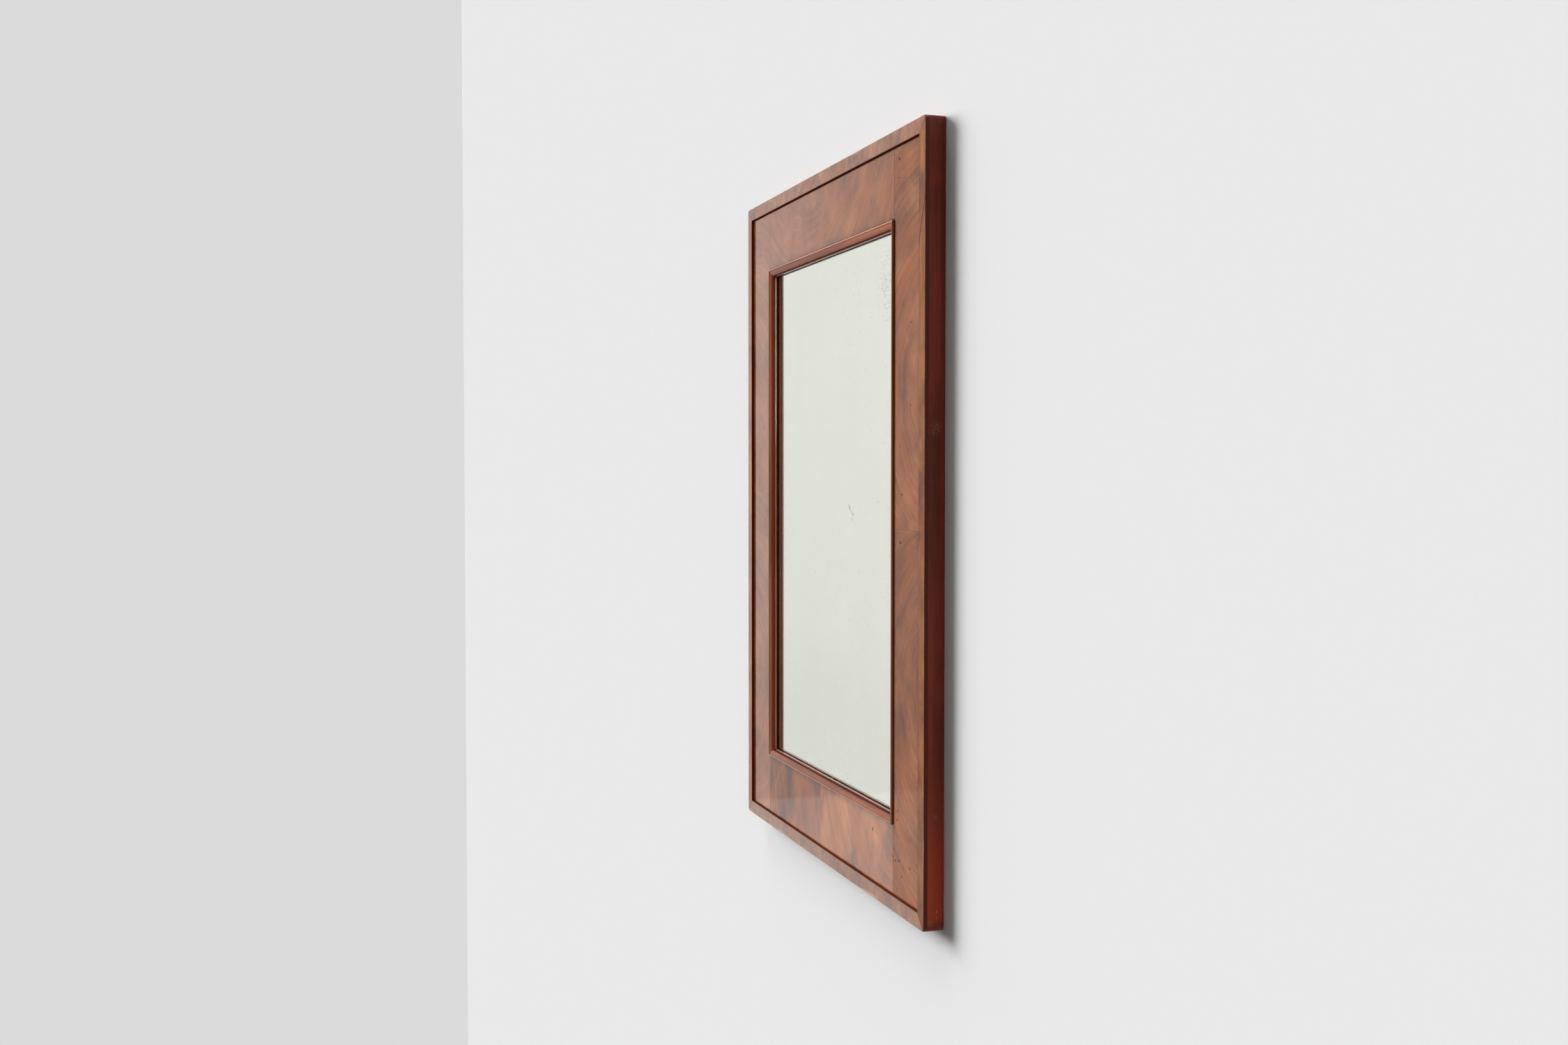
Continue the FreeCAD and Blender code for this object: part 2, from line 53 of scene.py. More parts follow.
BORDER_X = HALF_WIDTH - BORDER
BORDER_Z = HALF_HEIGHT - BORDER
FIELD_Y = -0.0207         # polished face of the field veneer
PLATE_GAP = 0.00005       # between the plate's back and the silvering
EDGE_START = 0.0008       # how far the dark edge colour comes in from the frame's outline
SHINE_X = 0.30            # polish and tone go from their left to their right value between -SHINE_X and SHINE_X

# The moulding's section. Inward is counted from its outer edge, sunk from the field's face towards the wall.
CREST_INWARD = (0.0001, 0.0004, 0.0010, 0.0018)      # the bead's crest, which gets a painted highlight
BEAD_INWARD = 0.0031      # where the bead meets the slope
SLOPE_INWARD = (0.0050, 0.0092)
HOLLOW_INWARD = (0.0086, 0.0093)      # the hollow above the slip
HOLLOW_SUNK = (0.0030, 0.0035)
SLIP_INWARD = (0.0093, 0.0096)        # the slip's face
SLIP_SUNK = (0.0040, 0.0046, 0.0053, 0.0058)
SLIP_EDGE_SUNK = (0.0064, 0.0069)     # the slip's edge by the plate

# Beetle holes in the field: x and z of the centre, then the radius.
BEETLE_HOLES = (
    (0.2564, 0.4167, 0.0017), (0.2544, 0.3957, 0.0011), (0.2734, 0.3924, 0.0009),
    (0.2449, 0.3720, 0.0009), (0.2695, 0.3429, 0.0009), (0.2680, 0.2502, 0.0009),
    (0.2930, 0.2282, 0.0012), (0.2915, 0.1355, 0.0009), (0.2605, 0.0890, 0.0010),
    (0.2651, 0.0341, 0.0013), (0.2611, -0.0210, 0.0015), (0.2544, -0.3315, 0.0012),
    (0.2523, -0.3425, 0.0012), (0.1737, -0.3698, 0.0017), (0.2438, -0.3785, 0.0009),
    (0.2395, -0.3876, 0.0012), (0.2483, -0.3905, 0.0013), (0.2591, -0.3888, 0.0013),
    (0.2918, -0.3900, 0.0014), (0.2667, -0.4056, 0.0011), (-0.2710, 0.1240, 0.0012),
    (-0.2980, -0.2160, 0.0010), (-0.1120, 0.4020, 0.0010),
)
# The hairline crack in the right border, from its outer edge down.
CRACK = ((0.3405, 0.3640), (0.3360, 0.3505), (0.3292, 0.3358), (0.3243, 0.3206), (0.3226, 0.3090))

# A struck mark in the silvering, left of and below the foxing: stretches of it and their half widths.
MARK = (((0.0665, 0.0180), (0.0690, 0.0140), 0.0011), ((0.0690, 0.0140), (0.0790, 0.0060), 0.0004),
        ((0.0800, 0.0060), (0.0840, 0.0080), 0.0004), ((0.0765, 0.0020), (0.0780, -0.0005), 0.0006))
# The densest foxing: its middle, and how far it reaches in X and Z.
FOXING_PLACE = (0.196, 0.0, 0.285)
FOXING_SPAN = (0.050, 1.0, 0.080)

# Rubbed places on the right edge: Y and Z of the middle, then the reach in Y and Z.
RUBBED_PLACES = ((-0.0105, 0.1075, 0.0085, 0.012), (-0.0095, -0.322, 0.004, 0.006),
                 (-0.0165, -0.4395, 0.005, 0.005), (-0.0035, -0.4470, 0.006, 0.006))
# A scratch on the right edge: Y and Z of the middle.
SCRATCH_Y = -0.0083
SCRATCH_Z = -0.4310

SIDES = (("right", True), ("left", True), ("top", False), ("bottom", False))     # and whether the member is upright


# ---------------------------------------------------------------- shader helpers
def feed(tree, socket, value):
    """Gives a socket a value, or the output of another node."""
    if isinstance(value, bpy.types.NodeSocket):
        tree.links.new(value, socket)
    else:
        socket.default_value = value


def add_node(tree, kind, given=None, **settings):
    """Adds one node, sets its properties, and feeds its sockets."""
    node = tree.nodes.new(kind)
    for name, value in settings.items():
        setattr(node, name, value)
    for key, value in (given or {}).items():
        feed(tree, node.inputs[key], value)
    return node


def calc(tree, operation, *values):
    """One Math node, such as calc(tree, "ADD", a, b)."""
    return add_node(tree, "ShaderNodeMath", dict(enumerate(values)), operation=operation).outputs[0]


def vector_calc(tree, operation, *values):
    """One Vector Math node that gives a vector."""
    return add_node(tree, "ShaderNodeVectorMath", dict(enumerate(values)), operation=operation).outputs[0]


def step_up(tree, value, low, high, out_low=0.0, out_high=1.0):
    """Goes smoothly from out_low at low to out_high at high."""
    node = add_node(tree, "ShaderNodeMapRange", {"Value": value, "From Min": low, "From Max": high,
                    "To Min": out_low, "To Max": out_high}, interpolation_type="SMOOTHSTEP")
    return node.outputs["Result"]


def between(tree, value, start, full, fall, end):
    """1 from full to fall, and 0 before start and after end."""
    return calc(tree, "MULTIPLY", step_up(tree, value, start, full), step_up(tree, value, fall, end, 1.0, 0.0))


def length(tree, vector):
    """The length of a vector."""
    return add_node(tree, "ShaderNodeVectorMath", {0: vector}, operation="LENGTH").outputs["Value"]


def diagonal(tree, a, b):
    """The length of the line across two parts that stand at right angles."""
    return calc(tree, "SQRT", calc(tree, "ADD", calc(tree, "MULTIPLY", a, a), calc(tree, "MULTIPLY", b, b)))


def joined(tree, x, y, z):
    """A vector from three values."""
    return add_node(tree, "ShaderNodeCombineXYZ", {"X": x, "Y": y, "Z": z}).outputs[0]


def split(tree, vector):
    """The three values of a vector."""
    return add_node(tree, "ShaderNodeSeparateXYZ", {"Vector": vector}).outputs[:3]


def scaled(tree, vector, x, y, z):
    """A vector stretched by three factors."""
    return vector_calc(tree, "MULTIPLY", vector, (x, y, z))


def noise(tree, vector, scale=1.0, detail=2.0, rough=0.5, bend=0.0):
    """Noise from 0 to 1 on a vector."""
    return add_node(tree, "ShaderNodeTexNoise", {"Vector": vector, "Scale": scale, "Detail": detail,
                    "Roughness": rough, "Distortion": bend}).outputs[0]


def blended(tree, share, first, second):
    """Two colours mixed by a share from 0 to 1."""
    node = add_node(tree, "ShaderNodeMix", data_type="RGBA")
    for index, value in ((0, share), (6, first), (7, second)):
        feed(tree, node.inputs[index], value)
    return node.outputs[2]


def dimmed(tree, colour, factor):
    """A colour times one value."""
    return vector_calc(tree, "MULTIPLY", colour, joined(tree, factor, factor, factor))


def new_effect(name, takes, gives):
    """A shader node group with named inputs and outputs. Returns the group, its inputs and its outputs."""
    group = bpy.data.node_groups.new(name, "ShaderNodeTree")
    kinds = {"value": "NodeSocketFloat", "colour": "NodeSocketColor", "vector": "NodeSocketVector"}
    for label, kind, start in takes:
        socket = group.interface.new_socket(label, in_out="INPUT", socket_type=kinds[kind])
        if start is not None:
            socket.default_value = start
    for label, kind in gives:
        group.interface.new_socket(label, in_out="OUTPUT", socket_type=kinds[kind])
    entry = group.nodes.new("NodeGroupInput")
    leave = group.nodes.new("NodeGroupOutput")
    return group, entry.outputs, leave.inputs


def use_effect(tree, group, **given):
    """Places a group in a tree. Words in the input names are joined by _ here."""
    node = add_node(tree, "ShaderNodeGroup", node_tree=group)
    for name, value in given.items():
        feed(tree, node.inputs[name.replace("_", " ")], value)
    return node.outputs


def rgb(red, green, blue):
    """A colour in linear values from the screen values 0 to 255."""
    def straight(level):
        level = level / 255
        return level / 12.92 if level <= 0.04045 else ((level + 0.055) / 1.055) ** 2.4
    return (straight(red), straight(green), straight(blue), 1.0)


# ---------------------------------------------------------------- shared effects
def make_flame_figure():
    """Mahogany figure. Strokes run along lines of equal Across, from noises stretched along them. Vector, the
    place on the frame or a stretched copy of it, gives the clouds between Shade and Pale, and Leaf sets one leaf
    of veneer off from the next. Contrast is the strength of the strokes."""
    tree, taken, given = new_effect(
        "flame_figure",
        [("Vector", "vector", None), ("Across", "value", 0.0), ("Along", "value", 0.0), ("Leaf", "value", 0.0),
         ("Pale", "colour", None), ("Warm", "colour", None), ("Shade", "colour", None), ("Contrast", "value", 1.0)],
        [("Color", "colour"), ("Height", "value")])
    flat = joined(tree, taken["Across"], taken["Along"], taken["Leaf"])
    sway = calc(tree, "SUBTRACT", noise(tree, scaled(tree, flat, 16, 9, 1), detail=1.0), 0.5)
    across = calc(tree, "ADD", taken["Across"], calc(tree, "MULTIPLY", sway, 0.032))
    place = joined(tree, across, taken["Along"], taken["Leaf"])
    patches = noise(tree, vector_calc(tree, "ADD", taken["Vector"], joined(tree, 0.0, taken["Leaf"], 0.0)),
                    scale=17.0, detail=5.0, rough=0.62)
    tones = noise(tree, scaled(tree, vector_calc(tree, "ADD", place, (4.0, 7.0, 2.0)), 34, 12, 3), detail=3.0)
    strokes = noise(tree, scaled(tree, place, 170, 14, 5), detail=6.0, rough=0.74)
    feathers = noise(tree, scaled(tree, place, 70, 12, 9), detail=4.0, rough=0.6, bend=0.4)
    pores = noise(tree, scaled(tree, place, 1100, 60, 7), detail=2.0, rough=0.6)
    colour = blended(tree, step_up(tree, patches, 0.30, 0.70), taken["Shade"], taken["Pale"])
    colour = blended(tree, step_up(tree, tones, 0.40, 0.72, 0.0, 0.85), colour, taken["Warm"])
    both = calc(tree, "ADD", calc(tree, "MULTIPLY", strokes, 1.3), calc(tree, "MULTIPLY", feathers, 0.7))
    swing = calc(tree, "MULTIPLY", calc(tree, "SUBTRACT", both, 1.0), taken["Contrast"])
    lighten = calc(tree, "ADD", 1.0, swing)
    pits = step_up(tree, pores, 0.30, 0.46, 0.78, 1.0)
    colour = dimmed(tree, colour, calc(tree, "MULTIPLY", lighten, pits))
    tree.links.new(colour, given["Color"])
    tree.links.new(calc(tree, "ADD", pits, calc(tree, "MULTIPLY", strokes, 0.2)), given["Height"])
    return tree


def make_straight_grain():
    """Straight-grained wood. Vector is a place in metres with the grain along its third axis."""
    tree, taken, given = new_effect(
        "straight_grain",
        [("Vector", "vector", None), ("Pale", "colour", None), ("Dark", "colour", None),
         ("Coarseness", "value", 1.0)],
        [("Color", "colour"), ("Height", "value")])
    place = add_node(tree, "ShaderNodeVectorMath", {0: taken["Vector"], "Scale": 1.0}, operation="SCALE")
    tree.links.new(calc(tree, "DIVIDE", 1.0, taken["Coarseness"]), place.inputs["Scale"])
    place = place.outputs[0]
    bands = noise(tree, scaled(tree, place, 260, 260, 7), detail=4.0, rough=0.6)
    fibres = noise(tree, scaled(tree, place, 1900, 1900, 45), detail=3.0, rough=0.65)
    clouds = noise(tree, scaled(tree, place, 30, 30, 8), detail=3.0)
    share = calc(tree, "ADD", calc(tree, "MULTIPLY", bands, 0.6), calc(tree, "MULTIPLY", clouds, 0.4))
    colour = blended(tree, step_up(tree, share, 0.36, 0.64), taken["Dark"], taken["Pale"])
    colour = dimmed(tree, colour, step_up(tree, fibres, 0.25, 0.65, 0.74, 1.12))
    tree.links.new(colour, given["Color"])
    tree.links.new(calc(tree, "ADD", fibres, bands), given["Height"])
    return tree


def make_grime_and_shade():
    """Dirt, old wax and painted shade that gather by a joint: 1 at no distance, gone at about Reach, uneven along the
    joint.
    """
    tree, taken, given = new_effect(
        "grime_and_shade", [("Distance", "value", 0.0), ("Reach", "value", 0.002), ("Vector", "vector", None)],
        [("Mask", "value")])
    uneven = noise(tree, taken["Vector"], scale=90.0, detail=6.0, rough=0.75)
    reach = calc(tree, "MULTIPLY", taken["Reach"], step_up(tree, uneven, 0.3, 0.7, 0.65, 1.3))
    share = calc(tree, "DIVIDE", taken["Distance"], reach)
    tree.links.new(step_up(tree, share, 0.0, 1.0, 1.0, 0.0), given["Mask"])
    return tree


def make_round_spot():
    """A round spot such as a beetle hole: 1 inside Radius of Place, in the plane of the face."""
    tree, taken, given = new_effect(
        "round_spot", [("Vector", "vector", None), ("Place", "vector", None), ("Radius", "value", 0.001)],
        [("Mask", "value")])
    gap = vector_calc(tree, "MULTIPLY", vector_calc(tree, "SUBTRACT", taken["Vector"], taken["Place"]), (1, 0, 1))
    edge = calc(tree, "DIVIDE", length(tree, gap), taken["Radius"])
    tree.links.new(step_up(tree, edge, 0.75, 1.15, 1.0, 0.0), given["Mask"])
    return tree


def make_flecks():
    """Scattered small flecks: Size is a fleck's radius in cells, Amount the share of cells that have one."""
    tree, taken, given = new_effect(
        "flecks", [("Vector", "vector", None), ("Scale", "value", 100.0), ("Size", "value", 0.2),
                   ("Amount", "value", 0.3)], [("Mask", "value")])
    cells = add_node(tree, "ShaderNodeTexVoronoi", {"Vector": taken["Vector"], "Scale": taken["Scale"]})
    lot = split(tree, cells.outputs["Color"])
    size = calc(tree, "MULTIPLY", taken["Size"], calc(tree, "ADD", 0.35, lot[1]))
    near = step_up(tree, calc(tree, "DIVIDE", cells.outputs["Distance"], size), 0.6, 1.0, 1.0, 0.0)
    chosen = calc(tree, "LESS_THAN", lot[0], taken["Amount"])
    tree.links.new(calc(tree, "MULTIPLY", near, chosen), given["Mask"])
    return tree


def make_old_polish():
    """Shellac rubbed by hand: slow waves and faint smears. Smear changes the roughness, Waves the height."""
    tree, taken, given = new_effect("old_polish", [("Vector", "vector", None)],
                                    [("Smear", "value"), ("Waves", "value")])
    tree.links.new(noise(tree, taken["Vector"], scale=38.0, detail=4.0, rough=0.6), given["Smear"])
    tree.links.new(noise(tree, taken["Vector"], scale=55.0, detail=2.0), given["Waves"])
    return tree


def make_tarnish():
    """Aged metal: Bright where hands rub, Dull in the hollows, with fine pitting."""
    tree, taken, given = new_effect(
        "tarnish", [("Vector", "vector", None), ("Bright", "colour", None), ("Dull", "colour", None)],
        [("Color", "colour"), ("Dullness", "value"), ("Height", "value")])
    clouds = noise(tree, taken["Vector"], scale=170.0, detail=5.0, rough=0.65)
    pits = noise(tree, taken["Vector"], scale=1400.0, detail=3.0, rough=0.7)
    dull = step_up(tree, clouds, 0.38, 0.62)
    colour = blended(tree, dull, taken["Bright"], taken["Dull"])
    colour = dimmed(tree, colour, step_up(tree, pits, 0.25, 0.5, 0.7, 1.0))
    tree.links.new(colour, given["Color"])
    tree.links.new(dull, given["Dullness"])
    tree.links.new(pits, given["Height"])
    return tree


flame_figure = make_flame_figure()
straight_grain = make_straight_grain()
grime_and_shade = make_grime_and_shade()
round_spot = make_round_spot()
flecks = make_flecks()
old_polish = make_old_polish()
tarnish = make_tarnish()


# ---------------------------------------------------------------- materials
def new_material(name, **constants):
    """A material with one Principled shader, whose constants are set on its own sockets."""
    material = bpy.data.materials.new(name)
    material.use_nodes = True
    shader = material.node_tree.nodes["Principled BSDF"]
    for label, value in constants.items():
        shader.inputs[label.replace("_", " ")].default_value = value
    return material, material.node_tree, shader


def object_place(tree):
    """The place of a point on the frame, in metres."""
    return add_node(tree, "ShaderNodeTexCoord").outputs["Object"]


def set_bump(tree, shader, height, strength, distance):
    """Feeds a height to the shader's normal."""
    bump = add_node(tree, "ShaderNodeBump", {"Height": height, "Strength": strength, "Distance": distance})
    tree.links.new(bump.outputs["Normal"], shader.inputs["Normal"])


def dress(material, *names):
    """Gives a material to CAD pieces, in every slot that they have."""
    for name in names:
        slots = NODES[name].data.materials
        if not slots:
            slots.append(material)
        for index in range(len(slots)):
            slots[index] = material


def rubbed(tree, shader, place, colour, height, rough_low, rough_high, bump=0.12):
    """Finishes polished wood: colour, uneven shine, and the pores and waves of the polish as height."""
    polish = use_effect(tree, old_polish, Vector=place)
    tree.links.new(colour, shader.inputs["Base Color"])
    tree.links.new(step_up(tree, polish["Smear"], 0.3, 0.7, rough_low, rough_high), shader.inputs["Roughness"])
    waves = calc(tree, "MULTIPLY", polish["Waves"], 3.0)
    set_bump(tree, shader, calc(tree, "ADD", waves, height), bump, 0.0002)


def polished_coat(tree, shader, dull, shine):
    """Gives the coat its weight: shine where the wood is clean, less where it is dull."""
    weight = calc(tree, "MULTIPLY", calc(tree, "SUBTRACT", 1.0, dull), shine)
    tree.links.new(weight, shader.inputs["Coat Weight"])


def within(tree, x, z, edge_x, edge_z):
    """How far a point of the face lies inside a rectangle round its middle. Negative outside."""
    return calc(tree, "MINIMUM", calc(tree, "SUBTRACT", edge_x, calc(tree, "ABSOLUTE", x)),
                calc(tree, "SUBTRACT", edge_z, calc(tree, "ABSOLUTE", z)))


def ring_figure(tree, x, z, centre_x, centre_z, facing):
    """Across and Along for strokes that lie as arcs round a centre. facing is -1 where the centre lies right of the
    wood, so that the turn has no jump inside the wood."""
    from_x = calc(tree, "SUBTRACT", x, centre_x)
    from_z = calc(tree, "SUBTRACT", z, centre_z)
    turn = calc(tree, "ARCTAN2", from_z, calc(tree, "MULTIPLY", from_x, facing))
    return diagonal(tree, from_x, from_z), calc(tree, "MULTIPLY", turn, 0.11)


def dark_line(tree, distance, half_width):
    """1 on a thin line and 0 beside it."""
    return step_up(tree, calc(tree, "ABSOLUTE", distance), half_width * 0.5, half_width * 1.6, 1.0, 0.0)


def segment_distance(tree, x, z, first, second):
    """How far a point of the face lies from a straight stretch of a crack."""
    (x0, z0), (x1, z1) = first, second
    run = (x1 - x0, z1 - z0)
    square = run[0] ** 2 + run[1] ** 2
    from_x = calc(tree, "SUBTRACT", x, x0)
    from_z = calc(tree, "SUBTRACT", z, z0)
    share = calc(tree, "ADD", calc(tree, "MULTIPLY", from_x, run[0] / square),
                 calc(tree, "MULTIPLY", from_z, run[1] / square))
    share = add_node(tree, "ShaderNodeClamp", {"Value": share}).outputs[0]
    off_x = calc(tree, "SUBTRACT", from_x, calc(tree, "MULTIPLY", share, run[0]))
    off_z = calc(tree, "SUBTRACT", from_z, calc(tree, "MULTIPLY", share, run[1]))
    return diagonal(tree, off_x, off_z)


FIELD_PALE = rgb(162, 101, 60)
FIELD_WARM = rgb(154, 86, 46)
FIELD_SHADE = rgb(122, 72, 50)
TONGUE_PALE = rgb(180, 112, 68)
TONGUE_SHADE = rgb(100, 58, 44)
HOLE_DARK = rgb(14, 9, 7)
DIRT_AND_SHADE = rgb(30, 18, 13)
JOINT_LINE = 0.0003       # half width of the lines where two veneers meet


def leaf_figure(tree, place, x, z, name, leaves, contrast):
    """The figure of one member. leaves are the arc centres, each from a height up: (x, z, from z)."""
    centre_x, centre_z, leaf = leaves[0][0], leaves[0][1], 1.7 + 3.1 * len(name)
    for (past_x, past_z, _), (next_x, next_z, start) in zip(leaves, leaves[1:]):
        above = calc(tree, "GREATER_THAN", z, start)
        centre_x = calc(tree, "ADD", centre_x, calc(tree, "MULTIPLY", above, next_x - past_x))
        centre_z = calc(tree, "ADD", centre_z, calc(tree, "MULTIPLY", above, next_z - past_z))
        leaf = calc(tree, "ADD", leaf, calc(tree, "MULTIPLY", above, 5.3))
    across, along = ring_figure(tree, x, z, centre_x, centre_z, -1.0 if leaves[0][0] > HALF_WIDTH else 1.0)
    clouds, pale, shade = place, FIELD_PALE, FIELD_SHADE
    if name == "rail_bottom":
        # strong clouds, drawn out into tongues that lean to the right
        lean = calc(tree, "SUBTRACT", x, calc(tree, "MULTIPLY", z, 0.35))
        clouds = scaled(tree, joined(tree, lean, 0.0, z), 0.62, 1.0, 0.30)
        pale, shade = TONGUE_PALE, TONGUE_SHADE
    return use_effect(tree, flame_figure, Vector=clouds, Across=across, Along=along, Leaf=leaf, Pale=pale,
                      Warm=FIELD_WARM, Shade=shade, Contrast=contrast)


def field_veneer(name, leaves, holes, shine, contrast, tone, joint_z=None):
    """Figured veneer of one member. shine is the weight of its polish and tone how light the wood is, both from
    left to right; contrast is the strength of its strokes, and joint_z the height of a joint between leaves."""
    material, tree, shader = new_material("field_" + name, Specular_IOR_Level=0.0, Coat_Weight=shine[0],
                                          Coat_Roughness=0.05, Coat_IOR=1.5)
    place = object_place(tree)
    x, _, z = split(tree, place)
    figure = leaf_figure(tree, place, x, z, name, leaves, contrast)
    colour = dimmed(tree, figure["Color"], step_up(tree, x, -SHINE_X, SHINE_X, *tone))
    if name == "stile_right":
        # the lower leaf is darkest below its upper end
        deep = calc(tree, "MULTIPLY", step_up(tree, z, -0.34, -0.14), calc(tree, "LESS_THAN", z, joint_z))
        colour = dimmed(tree, colour, calc(tree, "SUBTRACT", 1.0, calc(tree, "MULTIPLY", deep, 0.2)))
    # dark lines: the butt joint between stile and rail, and the joint between two leaves
    line = dark_line(tree, calc(tree, "SUBTRACT", calc(tree, "ABSOLUTE", x), SIGHT_X), JOINT_LINE)
    line = calc(tree, "MULTIPLY", line, calc(tree, "GREATER_THAN", calc(tree, "ABSOLUTE", z), SIGHT_Z))
    if joint_z is not None:
        wander = calc(tree, "MULTIPLY", noise(tree, place, scale=25.0, detail=1.0), 0.003)
        off_joint = calc(tree, "SUBTRACT", calc(tree, "SUBTRACT", z, wander), joint_z)
        leaf_line = calc(tree, "MULTIPLY", dark_line(tree, off_joint, JOINT_LINE), 0.55)
        line = calc(tree, "MAXIMUM", line, leaf_line)
    colour = blended(tree, calc(tree, "MULTIPLY", line, 0.8), colour, DIRT_AND_SHADE)
    # dirt and painted shade by the border's step and by the moulding, with a soft painted shade reaching further out
    # from the moulding
    to_border = within(tree, x, z, BORDER_X, BORDER_Z)
    to_moulding = calc(tree, "MULTIPLY", within(tree, x, z, SIGHT_X, SIGHT_Z), -1.0)
    dirt_and_shade = use_effect(tree, grime_and_shade, Distance=to_border, Reach=0.0013, Vector=place)["Mask"]
    more = use_effect(tree, grime_and_shade, Distance=to_moulding, Reach=0.0024, Vector=place)["Mask"]
    soft = use_effect(tree, grime_and_shade, Distance=to_moulding, Reach=0.011, Vector=place)["Mask"]
    colour = blended(tree, calc(tree, "MULTIPLY", soft, 0.30), colour, DIRT_AND_SHADE)
    packed_dirt_and_shade = calc(tree, "MAXIMUM", calc(tree, "MAXIMUM", dirt_and_shade, more),
                  step_up(tree, to_moulding, 0.0007, 0.0016, 0.9, 0.0))
    colour = blended(tree, calc(tree, "MULTIPLY", packed_dirt_and_shade, 0.9), colour, DIRT_AND_SHADE)
    dull = calc(tree, "MULTIPLY", calc(tree, "MAXIMUM", packed_dirt_and_shade, line), 0.8)
    # beetle holes, painted dark for the shade inside them, with a dent in the height
    bored = 0.0
    for hole_x, hole_z, radius in holes:
        spot = use_effect(tree, round_spot, Vector=place, Place=(hole_x, FIELD_Y, hole_z), Radius=radius)["Mask"]
        bored = calc(tree, "MAXIMUM", bored, spot)
    colour = blended(tree, bored, colour, HOLE_DARK)
    height = calc(tree, "SUBTRACT", figure["Height"], calc(tree, "MULTIPLY", bored, 4.0))
    polished_coat(tree, shader, calc(tree, "MAXIMUM", dull, bored), step_up(tree, x, -SHINE_X, SHINE_X, *shine))
    rubbed(tree, shader, place, colour, calc(tree, "SUBTRACT", height, line), 0.30, 0.42)
    return material


for member, leaves, holes_from, holes_to, shine, contrast, tone, joint_z in (
        ("stile_right", ((0.374, -0.189, -1.0), (0.374, 0.144, -0.006)),
         (SIGHT_X, -1), (1, 1), (0.52, 0.52), 1.0, (1.0, 1.0), -0.008),
        ("stile_left", ((-0.374, -0.240, -1.0), (-0.374, 0.120, 0.030)),
         (-1, -1), (-SIGHT_X, 1), (1.0, 1.0), 0.9, (1.03, 1.03), None),
        ("rail_top", ((-0.074, 0.580, -1.0),),
         (-SIGHT_X, 0), (SIGHT_X, 1), (0.98, 0.68), 0.9, (1.07, 1.07), None),
        ("rail_bottom", ((0.255, -0.270, -1.0),),
         (-SIGHT_X, -1), (SIGHT_X, 0), (0.74, 0.98), 0.75, (0.94, 1.20), None)):
    bored_here = [hole for hole in BEETLE_HOLES
                  if holes_from[0] <= hole[0] < holes_to[0] and holes_from[1] <= hole[1] < holes_to[1]]
    dress(field_veneer(member, leaves, bored_here, shine, contrast, tone, joint_z), "veneer_" + member)

BORDER_PALE = rgb(174, 114, 68)
BORDER_WARM = rgb(150, 82, 44)
BORDER_SHADE = rgb(112, 66, 44)
BORDER_WORN = rgb(204, 148, 98)
BORDER_STAIN = rgb(84, 46, 38)
# For each side: the weight of the polish, the strength of the strokes, how light the wood is, and the step's colour,
# its stain with painted light and shade: lightest on the top, darkest on the bottom.
BORDER_LOOKS = {
    "right": (0.40, 1.0, 0.86, rgb(100, 34, 20)),
    "left": (0.95, 1.0, 0.98, rgb(100, 34, 20)),
    "top": (0.95, 0.7, 0.98, rgb(150, 84, 58)),
    "bottom": (0.95, 0.4, 0.84, rgb(84, 40, 28)),
}


